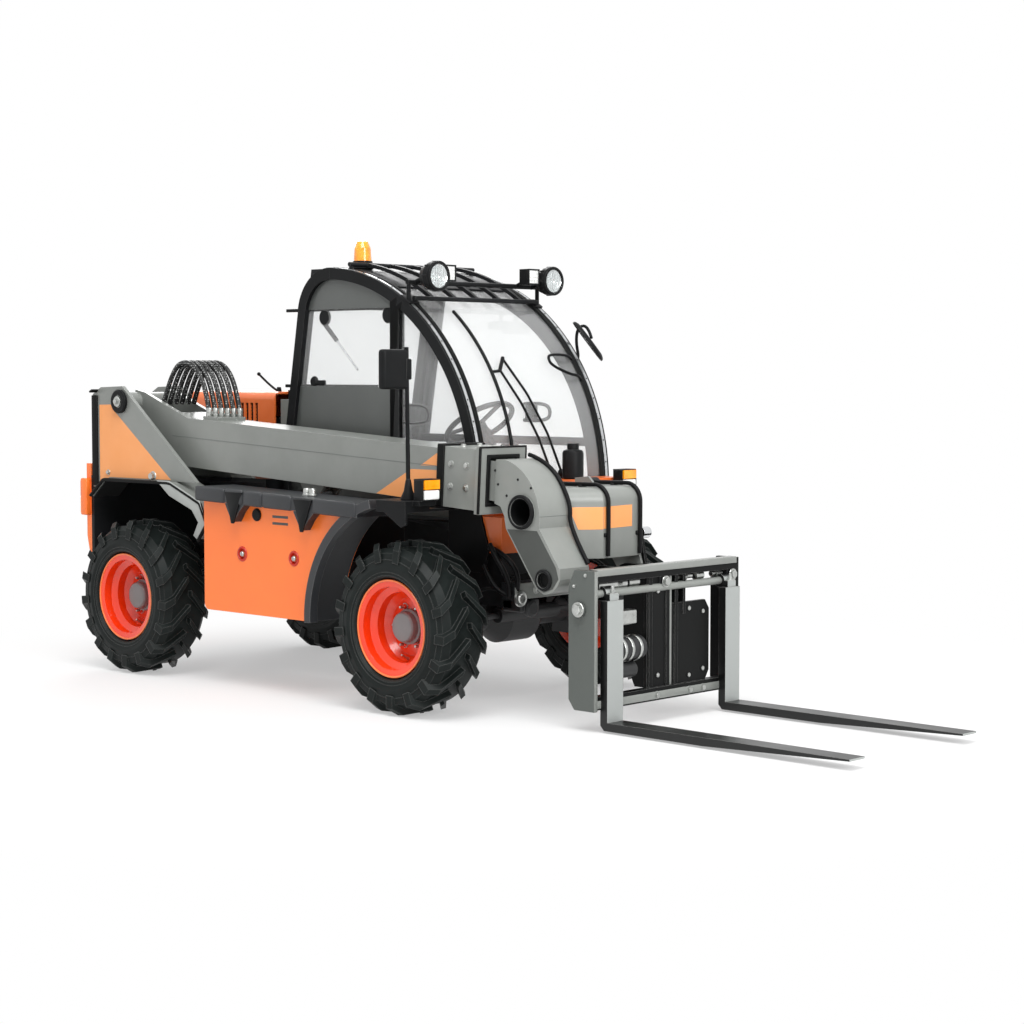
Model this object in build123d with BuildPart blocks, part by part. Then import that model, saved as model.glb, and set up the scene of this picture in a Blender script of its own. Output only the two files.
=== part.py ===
from build123d import *
import os
from math import cos, hypot, radians, sin

os.makedirs("parts", exist_ok=True)

# A compact telehandler: boom on the right, cab on the left, forks at the front.
# Millimetres. +X forward, +Y left, +Z up. The origin is on the ground under the middle
# of the machine's box. Places along X are measured from the front axle.

# ---------------------------------------------------------------- driving dimensions
wheelbase = 1920
rear_overhang = 560  # rear axle to the counterweight's back
front_reach = 2180  # front axle to the fork tips
overall_length = rear_overhang + wheelbase + front_reach
front_x = overall_length / 2 - front_reach
rear_x = front_x - wheelbase
track = 1256
overall_width = 1600  # over the mirrors

fit_gap = 0.5  # running clearance at pins, hubs and pads
seat_gap = 0.3  # between pieces of one body that only touch

tyre_radius = 380
tyre_width = 264
rim_radius = 213
bead_radius = 195
rim_width = 232
lugs_per_side = 17

rail_y = 250  # outer faces of the chassis rails
rail_wall = 20
rail_low = 450
rail_high = 590
deck_low = 940
deck_high = 960

cab_right = -170
cab_left = 730
cab_floor = 600
hoop_radius = 1040
hoop_x = front_x - 1077  # centre of the windscreen's arc
hoop_z = 949
hoop_lean = 9.5  # degrees, rear pillars
hoop_depth = 55
hoop_width = 60

boom_y = -390
boom_drop = 3.3  # degrees below level at rest
pivot_x = front_x - 2140
pivot_z = 1340
boom_width = 220
boom_depth = 240
boom_wall = 8
boom_centre_w = -175  # centreline below the pivot, across the boom
boom_end_u = 2485  # from the pivot along the boom
boom_pin_radius = 30

tilt_pin_radius = 25
carriage_half = 481
fork_length = 1200
fork_face = front_x + front_reach - fork_length
tilt_x = fork_face - 330
tilt_z = 615


# ---------------------------------------------------------------- shared shapes
def block(x, y, z, mode=Mode.ADD):
    """A box between the low and high places in x, y and z."""
    middle = ((x[0] + x[1]) / 2, (y[0] + y[1]) / 2, (z[0] + z[1]) / 2)
    with Locations(middle):
        Box(x[1] - x[0], y[1] - y[0], z[1] - z[0], mode=mode)


def plate(outline, y_low, y_high, mode=Mode.ADD):
    """An outline of (x, z) points, extruded between two places in y."""
    with BuildSketch(Plane.XZ.offset(-y_high)) as profile:
        with BuildLine():
            Polyline(*outline, close=True)
        make_face()
    extrude(profile.sketch, amount=y_high - y_low, mode=mode)


def bar(start, end, radius, mode=Mode.ADD):
    """A round bar from start to end."""
    way = Vector(*end) - Vector(*start)
    with BuildSketch(Plane(origin=start, z_dir=way)) as section:
        Circle(radius)
    extrude(section.sketch, amount=way.length, mode=mode)


def pipe(points, radii, radius, mode=Mode.ADD):
    """A round tube along straight runs with rounded corners."""
    with BuildLine() as route:
        FilletPolyline(*points, radius=radii)
    with BuildSketch(Plane(origin=route.line @ 0, z_dir=route.line % 0)) as section:
        Circle(radius)
    sweep(section.sketch, path=route.line, mode=mode)


def save(piece, name):
    piece.label = name
    export_step(piece, f"parts/{name}.step")


# ---------------------------------------------------------------- wheels
tread_radius = 350
lug_pitch = 360 / lugs_per_side
half_bead = rim_width / 2 - 10.5

with BuildPart() as lug:
    # (place across the tyre, turn in degrees, half thickness, root radius, top radius)
    lug_sections = [
        (4, 0, 13, 335, tyre_radius),
        (96, 15, 17, 330, tyre_radius - 3),
        (134, 20, 19, 288, tyre_radius - 34),
    ]
    lug_faces = []
    for across, turn, half, root, top in lug_sections:
        with BuildSketch(Plane.XZ.offset(-across)) as section:
            with BuildLine():
                Polyline((-half, root), (half, root), (half, top), (-half, top), close=True)
            make_face()
        lug_faces.append(section.sketch.rotate(Axis.Y, turn))
    loft(lug_faces, ruled=True)

left_lugs = [lug.part.rotate(Axis.Y, i * lug_pitch) for i in range(lugs_per_side)]
right_lug = lug.part.mirror(Plane.XZ)
right_lugs = [right_lug.rotate(Axis.Y, (i + 0.5) * lug_pitch) for i in range(lugs_per_side)]

with BuildPart() as tyre:
    with BuildSketch(Plane.YZ):
        with BuildLine():
            Polyline(
                (half_bead, bead_radius),
                (half_bead, rim_radius + 1),
                (126, 226),
                (tyre_width / 2, 268),
                (122, 328),
                (92, tread_radius),
                (-92, tread_radius),
                (-122, 328),
                (-tyre_width / 2, 268),
                (-126, 226),
                (-half_bead, rim_radius + 1),
                (-half_bead, bead_radius),
                close=True,
            )
        make_face()
    revolve(axis=Axis.Y)
    add(left_lugs + right_lugs)

hub_face = -30  # the disc's inner face, from the tyre's middle plane
disc_wall = 12
spindle_radius = 38
cap_radius = 48
nut_circle = 95
nut_count = 6
seat_radius = bead_radius - seat_gap
with BuildPart() as rim:
    with BuildSketch(Plane.YZ):
        with BuildLine():
            Polyline(
                (rim_width / 2, rim_radius),
                (rim_width / 2 - 10, rim_radius),
                (rim_width / 2 - 10, seat_radius),
                (60, seat_radius),
                (44, 165),
                (-44, 165),
                (-60, seat_radius),
                (-rim_width / 2 + 10, seat_radius),
                (-rim_width / 2 + 10, rim_radius),
                (-rim_width / 2, rim_radius),
                (-rim_width / 2 + 6, 182),
                (-66, 182),
                (-50, 155),
                (hub_face, 155),
                (hub_face, spindle_radius + fit_gap),
                (20, spindle_radius + fit_gap),
                (20, 0),
                (46, 0),
                (46, cap_radius),
                (hub_face + disc_wall, cap_radius),
                (hub_face + disc_wall, 130),
                (10, 155),
                (50, 155),
                (68, 182),
                (rim_width / 2 - 6, 182),
                close=True,
            )
        make_face()
    revolve(axis=Axis.Y)
    with BuildSketch(Plane.XZ.offset(-(hub_face + disc_wall))):
        with PolarLocations(nut_circle, nut_count):
            RegularPolygon(13, 6)
    extrude(amount=-16)

wheels = [
    ("front_left", front_x, 1),
    ("front_right", front_x, -1),
    ("rear_left", rear_x, 1),
    ("rear_right", rear_x, -1),
]
for name, x, side in wheels:
    place = Location((x, side * track / 2, tyre_radius))
    turned = place * Location((0, 0, 0), (0, 0, 0 if side > 0 else 180))
    save(tyre.part.moved(place), f"tyre_{name}")
    save(rim.part.moved(turned), f"rim_{name}")

# ---------------------------------------------------------------- axles and knuckles
hub_radius = 70
hub_end = track / 2 + hub_face - fit_gap
spindle_end = track / 2 + 19
kingpin_y = 440
kingpin_radius = 48
yoke_reach = 478
yoke_wall = 20
yoke_half = 88  # from the axle's centre to the yoke's inner faces
tube_radius = 58

with BuildPart() as front_axle:
    with BuildSketch(Plane.YZ.offset(front_x)):
        with BuildLine():
            Polyline(
                (-380, tyre_radius),
                (-380, tyre_radius + tube_radius),
                (-190, tyre_radius + tube_radius),
                (-100, tyre_radius + 118),
                (80, tyre_radius + 118),
                (160, tyre_radius + tube_radius),
                (380, tyre_radius + tube_radius),
                (380, tyre_radius),
                close=True,
            )
        make_face()
    revolve(axis=Axis((front_x, 0, tyre_radius), (0, 1, 0)))
    bar((front_x - 190, -10, tyre_radius), (front_x, -10, tyre_radius), 60)
    for side in (-1, 1):
        y_in, y_out = sorted((side * 340, side * yoke_reach))
        for z in (tyre_radius - yoke_half - yoke_wall, tyre_radius + yoke_half):
            block((front_x - 50, front_x + 50), (y_in, y_out), (z, z + yoke_wall))
        y_in, y_out = sorted((side * 340, side * 380))
        z_span = (tyre_radius - yoke_half - yoke_wall, tyre_radius + yoke_half + yoke_wall)
        block((front_x - 50, front_x + 50), (y_in, y_out), z_span)
        y_in, y_out = sorted((side * 200, side * 270))
        block((front_x - 45, front_x + 45), (y_in, y_out), (tyre_radius, rail_low))
    # steering cylinder in front of the beam, on two brackets
    bar((front_x + 105, -190, 400), (front_x + 105, 190, 400), 34)
    bar((front_x + 105, -300, 400), (front_x + 105, 300, 400), 14)
    for y in (-150, 150):
        block((front_x, front_x + 105), (y - 12, y + 12), (370, 420))
save(front_axle.part, "front_axle")

for name, side in (("left", 1), ("right", -1)):
    with BuildPart() as knuckle:
        bar(
            (front_x, side * kingpin_y, tyre_radius - yoke_half + fit_gap),
            (front_x, side * kingpin_y, tyre_radius + yoke_half - fit_gap),
            kingpin_radius,
        )
        bar((front_x, side * kingpin_y, tyre_radius), (front_x, side * hub_end, tyre_radius), hub_radius)
        bar((front_x, side * hub_end, tyre_radius), (front_x, side * spindle_end, tyre_radius), spindle_radius)
        y_in, y_out = sorted((side * (kingpin_y - 15), side * (kingpin_y + 15)))
        block((front_x - 150, front_x), (y_in, y_out), (320, 350))
    save(knuckle.part, f"knuckle_{name}")

with BuildPart() as rear_axle:
    with BuildSketch(Plane.YZ.offset(rear_x)):
        with BuildLine():
            Polyline(
                (-spindle_end, tyre_radius),
                (-spindle_end, tyre_radius + spindle_radius),
                (-hub_end, tyre_radius + spindle_radius),
                (-hub_end, tyre_radius + hub_radius),
                (-470, tyre_radius + hub_radius),
                (-470, tyre_radius + tube_radius),
                (-170, tyre_radius + tube_radius),
                (-90, tyre_radius + 105),
                (90, tyre_radius + 105),
                (170, tyre_radius + tube_radius),
                (470, tyre_radius + tube_radius),
                (470, tyre_radius + hub_radius),
                (hub_end, tyre_radius + hub_radius),
                (hub_end, tyre_radius + spindle_radius),
                (spindle_end, tyre_radius + spindle_radius),
                (spindle_end, tyre_radius),
                close=True,
            )
        make_face()
    revolve(axis=Axis((rear_x, 0, tyre_radius), (0, 1, 0)))
    for side in (-1, 1):
        y_in, y_out = sorted((side * 200, side * 270))
        block((rear_x - 45, rear_x + 45), (y_in, y_out), (tyre_radius, rail_low))
save(rear_axle.part, "rear_axle")

# ---------------------------------------------------------------- chassis
rail_rear = front_x - 2380
rail_front = front_x + 250
lift_base_x = front_x - 1750
lift_base_z = 600
lift_pin_radius = 20
lift_lug_gap = 62  # from the boom's plane to the clevis lugs
lug_wall = 18
tower_wall = 20
tower_outer_y = -600
tower_inner_y = -220
deck_front = front_x - 1440
screen_x = hoop_x + hoop_radius  # front of the windscreen's arc
cowl_rear = screen_x + 2
cowl_front = front_x + 230
cowl_low = 690
cowl_top = 990
cowl_right = -290
cowl_left = 285
guard_in = 470  # rear mudguards' inner edges
hood_top = 1388
hood_front = front_x - 1660
hood_pin_x = hood_front + 12
hood_pin_radius = 6
hood_hinges = (130, 490)

with BuildPart() as chassis_frame:
    for y in (-rail_y, rail_y - rail_wall):
        block((rail_rear, rail_front), (y, y + rail_wall), (rail_low, rail_high))
    # cross members: rear plate, two between the axles, front plate and front beam
    block((rail_rear - 20, rail_rear), (-600, 600), (rail_low, deck_high))
    for x in (front_x - 1300, front_x - 620):
        block((x - 40, x + 40), (-rail_y + rail_wall, rail_y - rail_wall), (470, 570))
    block((front_x - 2120, front_x - 2040), (-rail_y + rail_wall, rail_y - rail_wall), (500, rail_high))
    block((rail_front, rail_front + 80), (-310, 310), (495, 568))
    # outriggers that carry the right side box and the left step box
    for x in (front_x - 1130, front_x - 700):
        block((x - 30, x + 30), (-500, -rail_y), (470, 520))
        block((x - 30, x + 30), (rail_y, 300), (470, 520))
    # rear deck, round the engine
    block((rail_rear, deck_front), (tower_inner_y - tower_wall, guard_in), (deck_low, deck_high))
    block((rail_rear, front_x - 1710), (-guard_in, tower_inner_y - tower_wall), (deck_low, deck_high))
    block((front_x - 2330, front_x - 1720), (60, 452), (deck_low, deck_high), Mode.SUBTRACT)
    block((deck_front - 20, deck_front), (tower_inner_y - tower_wall, guard_in), (rail_high + 10, deck_low))
    for y in (-rail_y, rail_y - rail_wall):
        block((deck_front - 20, deck_front), (y, y + rail_wall), (rail_high, rail_high + 10))
    # clevis of the lift cylinder, on a shelf beside the right rail
    block((lift_base_x - 80, lift_base_x + 80), (-470, -rail_y), (500, 520))
    for y in (boom_y - lift_lug_gap - lug_wall, boom_y + lift_lug_gap):
        plate(
            [
                (lift_base_x - 70, 520),
                (lift_base_x + 70, 520),
                (lift_base_x + 35, lift_base_z + 30),
                (lift_base_x - 35, lift_base_z + 30),
            ],
            y,
            y + lug_wall,
        )
    bar(
        (lift_base_x, boom_y - lift_lug_gap - lug_wall, lift_base_z),
        (lift_base_x, boom_y + lift_lug_gap + lug_wall, lift_base_z),
        lift_pin_radius,
    )
    # hinge posts of the engine hood
    for y in hood_hinges:
        for y_low in (y - 42, y + 22):
            block((hood_pin_x - 6, hood_pin_x + 8), (y_low, y_low + 20), (deck_high, hood_top + 8))
        bar((hood_pin_x, y - 42, hood_top), (hood_pin_x, y + 42, hood_top), hood_pin_radius)
    # posts and cross plate under the front cowl
    for y in (-rail_y, rail_y - rail_wall):
        block((cowl_rear + 20, cowl_front - 40), (y, y + rail_wall), (rail_high, cowl_low - seat_gap))
    block((cowl_front - 60, cowl_front - 40), (-rail_y, rail_y), (rail_high, cowl_low - seat_gap))
    # cab mounts on the rails
    for x in (front_x - 1250, front_x - 640):
        for y in (-rail_y, rail_y - rail_wall):
            block((x - 40, x + 40), (y, y + rail_wall), (rail_high, cab_floor))
save(chassis_frame.part, "chassis_frame")

# Two tower plates carry the boom's pivot pin.
guard_top = 951
tower_outline = [
    (rail_rear, 1375),
    (front_x - 2310, 1411),
    (front_x - 2130, 1417),
    (front_x - 1530, guard_top + seat_gap),
    (front_x - 2245, guard_top + seat_gap),
    (rail_rear, 900),
]
inner_outline = [
    (rail_rear, 1375),
    (front_x - 2310, 1411),
    (front_x - 2130, 1417),
    (front_x - 1541, deck_high),
    (rail_rear, deck_high),
]
boss_radius = 52
with BuildPart() as boom_tower:
    plate(tower_outline, tower_outer_y, tower_outer_y + tower_wall)
    plate(inner_outline, tower_inner_y - tower_wall, tower_inner_y)
    block((rail_rear, rail_rear + 16), (tower_outer_y, tower_inner_y), (deck_high, 1340))
    bar((pivot_x, tower_outer_y - 18, pivot_z), (pivot_x, tower_inner_y + 10, pivot_z), boom_pin_radius)
    bar((pivot_x, tower_outer_y - 18, pivot_z), (pivot_x, tower_outer_y, pivot_z), boss_radius)
    bar((pivot_x, tower_outer_y, pivot_z), (pivot_x, -520, pivot_z), boss_radius)
    bar((pivot_x, -260, pivot_z), (pivot_x, tower_inner_y, pivot_z), boss_radius)
save(boom_tower.part, "boom_tower")

weight_depth = 80
weight_half = 600
weight_low = 560
weight_high = 1020
with BuildPart() as counterweight:
    weight_front = rail_rear - 20
    weight_rear = weight_front - weight_depth
    with BuildSketch(Plane.XY.offset(weight_low)):
        with BuildLine():
            Polyline(
                (weight_front, -weight_half),
                (weight_rear + 40, -weight_half),
                (weight_rear, -weight_half + 170),
                (weight_rear, weight_half - 170),
                (weight_rear + 40, weight_half),
                (weight_front, weight_half),
                close=True,
            )
        make_face()
    extrude(amount=weight_high - weight_low)
    plate(
        [(weight_rear - 10, weight_low), (weight_front - 18, weight_low), (weight_rear - 10, 850)],
        -weight_half - 10,
        weight_half + 10,
        Mode.SUBTRACT,
    )
save(counterweight.part, "counterweight")

# Rear mudguards: a folded sheet over each rear wheel.
guard_wall = 12
guard_out = 640
guard_lines = {
    # the right one ends in a lip over the tyre, the left one behind the cab
    -1: [(-2350, 865), (-2240, guard_top), (-1690, guard_top), (-1455, 862), (-1402, 765), (-1470, 682)],
    1: [(-2350, 865), (-2240, guard_top), (-1800, guard_top), (-1545, 768), (-1500, 620)],
}


def folded_sheet(line, wall, y_low, y_high):
    """A sheet whose top follows the (x, z) line, with its wall below."""
    inner = []
    for i, (x, z) in enumerate(line):
        before = line[max(i - 1, 0)]
        after = line[min(i + 1, len(line) - 1)]
        way = Vector(after[0] - before[0], after[1] - before[1]).normalized()
        inner.append((x + way.Y * wall, z - way.X * wall))
    plate(line + inner[::-1], y_low, y_high)


with BuildPart() as rear_mudguards:
    for side, line in guard_lines.items():
        outline = [(front_x + x, z) for x, z in line]
        y_low, y_high = sorted((side * guard_in, side * guard_out))
        folded_sheet(outline, guard_wall, y_low, y_high)
save(rear_mudguards.part, "rear_mudguards")

# ---------------------------------------------------------------- right side box and trim
arch_radius = 530
lip_width = 40
box_low = 360
box_in = -500
box_out = -700
box_rear = front_x - 1345
box_front_end = front_x - 300
trim_out = -745
trim_in = -512
trim_rear = box_rear - 8
trim_front = front_x - 215
trim_tabs = (front_x - 1062, front_x - 572)
tab_depth = 85
latch_z = 640


def trim_low(x):
    """The underside of the trim rail, which falls a little towards the front."""
    return 885 - 35 * (x - box_rear) / (trim_front - box_rear)


with BuildPart() as side_box:
    plate(
        [
            (box_rear, box_low),
            (box_front_end, box_low),
            (box_front_end, trim_low(box_front_end)),
            (box_rear, trim_low(box_rear)),
        ],
        box_out,
        box_in,
    )
    rear_edge = side_box.edges().filter_by(Axis.Y).group_by(Axis.Z)[0].sort_by(Axis.X)[0]
    fillet(rear_edge, 30)
    bar(
        (front_x, box_out, tyre_radius),
        (front_x, box_in, tyre_radius),
        arch_radius + lip_width + seat_gap,
        Mode.SUBTRACT,
    )
    # two turn latches in round recesses
    for x in (front_x - 1060, front_x - 690):
        bar((x, box_out, latch_z), (x, box_out + 14, latch_z), 26, Mode.SUBTRACT)
        bar((x, box_out + 2, latch_z), (x, box_out + 14, latch_z), 14)
save(side_box.part, "side_box")

with BuildPart() as side_trim:
    # the lip round the front wheel, and the thin liner behind it
    for low, y_low, y_high in (
        (arch_radius, trim_out, box_out),
        (arch_radius + lip_width - 8, box_out, trim_in),
    ):
        with BuildSketch(Plane.XZ.offset(-y_high)) as lip:
            with BuildLine():
                outer = CenterArc((front_x, tyre_radius), arch_radius + lip_width, 104, 78)
                inner = CenterArc((front_x, tyre_radius), low, 104, 78)
                Line(outer @ 0, inner @ 0)
                Line(outer @ 1, inner @ 1)
            make_face()
        extrude(lip.sketch, amount=y_high - y_low)
    # the rail along the top of the box
    plate(
        [
            (trim_rear, trim_low(trim_rear)),
            (trim_front, trim_low(trim_front)),
            (trim_front, trim_low(trim_front) + 62),
            (trim_rear, trim_low(trim_rear) + 62),
        ],
        trim_out,
        trim_in,
    )
    # pointed tabs that hook over the box
    for x in trim_tabs:
        low = trim_low(x)
        plate(
            [(x - 70, low), (x + 75, low), (x + 32, low - 38), (x - 2, low - tab_depth), (x - 18, low - tab_depth)],
            trim_out,
            box_out,
        )
save(side_trim.part, "side_trim")

with BuildPart() as step_box:
    block((front_x - 1250, front_x - 590), (300, 700), (box_low, cab_floor - 2))
    block((front_x - 1060, front_x - 760), (560, 700), (440, cab_floor - 2), Mode.SUBTRACT)
save(step_box.part, "step_box")

# Front mudguards: the right one carries the mirror's pole and a signal, over a liner
# beside the cowl that passes under the boom.
front_guard_low = 915
front_guard_high = 935
front_guard_in = 545
front_guard_out = 745
liner_wall = 12
liner_out = cowl_right - seat_gap - liner_wall
liner_top = 897
with BuildPart() as front_mudguards:
    block((front_x - 90, front_x + 95), (-front_guard_out, -600), (liner_top - liner_wall, front_guard_high))
    block((front_x + 95, front_x + 135), (-700, -600), (front_guard_low, front_guard_high))
    block((front_x - 90, front_x + 95), (-600, liner_out), (liner_top - liner_wall, liner_top))
    plate(
        [(front_x - 40, 885), (front_x + 95, 885), (front_x + 95, 832), (front_x + 66, 822)],
        -front_guard_out,
        -front_guard_out + liner_wall,
    )
    plate(
        [
            (front_x - 90, liner_top),
            (front_x + 108, liner_top),
            (front_x + 108, 860),
            (front_x + 160, 705),
            (front_x + 130, rail_high + 10),
            (front_x - 90, rail_high + 10),
        ],
        liner_out,
        liner_out + liner_wall,
    )
    block((front_x - 34, front_x + 135), (front_guard_in, front_guard_out), (front_guard_low, front_guard_high))
save(front_mudguards.part, "front_mudguards")

with BuildPart() as front_cowl:
    block((cowl_rear, cowl_front), (cowl_right, cowl_left), (cowl_low, 850))
    block((cowl_rear, cowl_front), (cowl_right + 75, cowl_left), (850, cowl_top))
    block((cowl_rear, front_x + 85), (cowl_left, 700), (front_guard_high, cowl_top))
    edges_front = front_cowl.edges().filter_by(Axis.Y).group_by(Axis.X)[-1].group_by(Axis.Z)[-1]
    fillet(edges_front, 45)
save(front_cowl.part, "front_cowl")

# ---------------------------------------------------------------- engine, hood and air box
hood_rear = front_x - 2360
hood_right = 0
hood_left = 620
hood_low = deck_high + 6
hood_wall = 12
with BuildPart() as engine_block:
    block((front_x - 2290, front_x - 1760), (80, 440), (rail_high + 10, 1250))
    block((front_x - 2115, front_x - 2045), (90, rail_y), (rail_high, rail_high + 10))
save(engine_block.part, "engine_block")

with BuildPart() as engine_hood:
    block((hood_rear, hood_front), (hood_right, hood_left), (hood_low, hood_top))
    top_edges = engine_hood.edges().filter_by(Axis.X).group_by(Axis.Z)[-1]
    fillet(top_edges, 40)
    block(
        (hood_rear + hood_wall, hood_front),
        (hood_right + hood_wall, hood_left - hood_wall),
        (hood_low, hood_top - hood_wall),
        Mode.SUBTRACT,
    )
    for i in range(6):
        x = hood_front - 130 - i * 38
        block((x - 24, x), (hood_right, hood_right + hood_wall), (1180, 1330), Mode.SUBTRACT)
    for y in hood_hinges:
        bar((hood_pin_x, y - 20, hood_top), (hood_pin_x, y + 20, hood_top), 11)
        block((hood_front - 10, hood_pin_x), (y - 20, y + 20), (hood_top - hood_wall, hood_top))
        bar(
            (hood_pin_x, y - 20, hood_top),
            (hood_pin_x, y + 20, hood_top),
            hood_pin_radius + fit_gap,
            Mode.SUBTRACT,
        )
save(engine_hood.part, "engine_hood")

with BuildPart() as air_box:
    block((front_x - 1632, front_x - 1480), (20, 480), (deck_high, 1350))
save(air_box.part, "air_box")

# ---------------------------------------------------------------- cab
hoop_top = hoop_z + hoop_radius
rear_top_x = front_x - 1240
corner_radius = 188
cab_base = 820  # where the hoops stand on the tub
raised_floor = cab_base - 20
pillar_rear = front_x - 620
pillar_front = front_x - 560
sill_z = 1420
header_z = 1790
pane = 6
screen_low = 0.1  # degrees above level, from the arc's centre
screen_high = 64.5


def rear_line_x(z):
    """The rear pillars' outer line at a height."""
    return rear_top_x - (hoop_top - z) * sin(radians(hoop_lean)) / cos(radians(hoop_lean))


def cab_shape(depth, base, y_high, x_span=None, z_span=None):
    """The cab's side outline, set in by a depth, cut to a window in x and z."""
    low = base - depth
    with BuildSketch(Plane.XZ.offset(-y_high)) as shape:
        with BuildLine():
            Line((rear_line_x(low), low), (rear_top_x, hoop_top))
            Line((rear_top_x, hoop_top), (hoop_x, hoop_top))
            CenterArc((hoop_x, hoop_z), hoop_radius, 0, 90)
            Line((hoop_x + hoop_radius, hoop_z), (hoop_x + hoop_radius, low))
            Line((hoop_x + hoop_radius, low), (rear_line_x(low), low))
        make_face()
        corner = shape.vertices().sort_by_distance((rear_top_x, y_high, hoop_top))[0]
        fillet(corner, corner_radius)
        if depth:
            offset(amount=-depth, kind=Kind.INTERSECTION)
        if x_span:
            with Locations(((x_span[0] + x_span[1]) / 2, 1500)):
                Rectangle(x_span[1] - x_span[0], 3000, mode=Mode.INTERSECT)
        if z_span:
            with Locations((front_x - 700, (z_span[0] + z_span[1]) / 2)):
                Rectangle(3000, z_span[1] - z_span[0], mode=Mode.INTERSECT)
    return shape.sketch


def arc_band(r_in, r_out, start, turn, y_high, centre=(hoop_x, hoop_z)):
    """A band between two arcs about a centre, from start over turn degrees."""
    with BuildSketch(Plane.XZ.offset(-y_high)) as band:
        with BuildLine():
            outer = CenterArc(centre, r_out, start, turn)
            inner = CenterArc(centre, r_in, start, turn)
            Line(outer @ 0, inner @ 0)
            Line(outer @ 1, inner @ 1)
        make_face()
    return band.sketch


door_pin_y = cab_left + 10
door_pin_radius = 5
door_hinges = (1050, 1650)  # heights on the rear pillar


def door_axis(z, way):
    """A place on the door's hinge line, way along it from a height."""
    lean = radians(hoop_lean)
    x = rear_line_x(z) + hoop_depth / cos(lean)
    return (x + way * sin(lean), door_pin_y, z + way * cos(lean))


inner_right = cab_right + hoop_width
inner_left = cab_left - hoop_width
tub_rear = front_x - 1430

with BuildPart() as cab_frame:
    for y in (cab_right + hoop_width, cab_left):
        extrude(cab_shape(0, cab_base, y), amount=hoop_width)
        extrude(cab_shape(hoop_depth, cab_base, y), amount=hoop_width, mode=Mode.SUBTRACT)
    # tub: floor, risers, raised floor over the front wheel, walls
    block((tub_rear, front_x - 520), (cab_right, cab_left), (cab_floor, cab_floor + 20))
    block((front_x - 540, front_x - 520), (cab_right, cab_left), (cab_floor, cab_base))
    block((front_x - 540, screen_x), (cab_right, cab_left), (raised_floor, cab_base))
    block((tub_rear, tub_rear + 20), (cab_right, cab_left), (cab_floor, cab_base))
    block((tub_rear, front_x - 520), (cab_right, cab_right + 20), (cab_floor, cab_base))
    block((tub_rear, front_x - 520), (cab_left - 20, cab_left), (cab_floor, cab_base))
    block((screen_x - 20, screen_x), (cab_right, cab_left), (raised_floor, hoop_z))
    # roof cross bars, and the pillar on the boom side
    for angle in (66.5, 96):
        x = hoop_x + (hoop_radius - 40) * cos(radians(angle))
        z = hoop_z + (hoop_radius - 40) * sin(radians(angle))
        bar((x, inner_right, z), (x, inner_left, z), 18)
    pillar = cab_shape(hoop_depth, cab_base, cab_right + 45, (pillar_rear, pillar_front))
    extrude(pillar, amount=40)
    # hinge knuckles of the door
    for z in door_hinges:
        bar(door_axis(z, -46), door_axis(z, 46), door_pin_radius)
        for way in (-46, 22):
            bar(door_axis(z, way), door_axis(z, way + 24), 9)
            x = door_axis(z, way + 12)[0]
            block((x - 34, x), (cab_left, cab_left + 7), (z + way + 2, z + way + 22))
save(cab_frame.part, "cab_frame")

panel_y = cab_right + 40
with BuildPart() as cab_panels:
    extrude(
        cab_shape(hoop_depth, cab_base, panel_y, (tub_rear - 100, pillar_rear), (cab_base, sill_z)),
        amount=20,
    )
    extrude(
        cab_shape(hoop_depth, cab_base, panel_y, (tub_rear - 100, pillar_rear), (header_z, 2100)),
        amount=20,
    )
    extrude(
        cab_shape(hoop_depth, cab_base, panel_y, (pillar_front, screen_x), (cab_base, 1000)),
        amount=20,
    )
    rear_sill = 1230
    plate(
        [
            (rear_line_x(cab_base) + 20, cab_base),
            (rear_line_x(rear_sill) + 20, rear_sill),
            (rear_line_x(rear_sill), rear_sill),
            (rear_line_x(cab_base), cab_base),
        ],
        inner_right,
        inner_left,
    )
save(cab_panels.part, "cab_panels")

with BuildPart() as windscreen:
    band = arc_band(
        hoop_radius - 8 - pane, hoop_radius - 8, screen_low, screen_high - screen_low, inner_left
    )
    extrude(band, amount=inner_left - inner_right)
save(windscreen.part, "windscreen")

glass_y = panel_y - 6
rear_glass_top = 1800
with BuildPart() as cab_glass:
    extrude(
        cab_shape(hoop_depth, cab_base, glass_y, (tub_rear - 100, pillar_rear), (sill_z, header_z)),
        amount=pane,
    )
    extrude(
        cab_shape(hoop_depth, cab_base, glass_y, (pillar_front, screen_x), (1000, 2100)),
        amount=pane,
    )
    plate(
        [
            (rear_line_x(rear_sill) + 14, rear_sill),
            (rear_line_x(rear_glass_top) + 14, rear_glass_top),
            (rear_line_x(rear_glass_top) + 8, rear_glass_top),
            (rear_line_x(rear_sill) + 8, rear_sill),
        ],
        inner_right,
        inner_left,
    )
save(cab_glass.part, "cab_glass")

guard_radius = hoop_radius + 24
with BuildPart() as roof_guard:
    roof_front = hoop_x + (hoop_radius - 18) * cos(radians(screen_high))
    extrude(cab_shape(0, 0, inner_left, (tub_rear, roof_front), (rear_glass_top, 2100)),
            amount=inner_left - inner_right)
    extrude(cab_shape(20, 0, inner_left, (tub_rear, roof_front), (rear_glass_top - 1, 2100)),
            amount=inner_left - inner_right, mode=Mode.SUBTRACT)
    for angle in (56, 82):
        x = hoop_x + guard_radius * cos(radians(angle))
        z = hoop_z + guard_radius * sin(radians(angle))
        bar((x, cab_right + 30, z), (x, cab_left - 30, z), 11)
        for y in (cab_right + 42, cab_left - 42):
            foot_x = hoop_x + hoop_radius * cos(radians(angle))
            foot_z = hoop_z + hoop_radius * sin(radians(angle))
            bar((x, y, z), (foot_x, y, foot_z), 9)
    for i in range(5):
        y = inner_right + 90 + i * 150
        extrude(arc_band(guard_radius - 9, guard_radius + 9, 56, 26, y + 9), amount=18)
save(roof_guard.part, "roof_guard")

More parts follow.
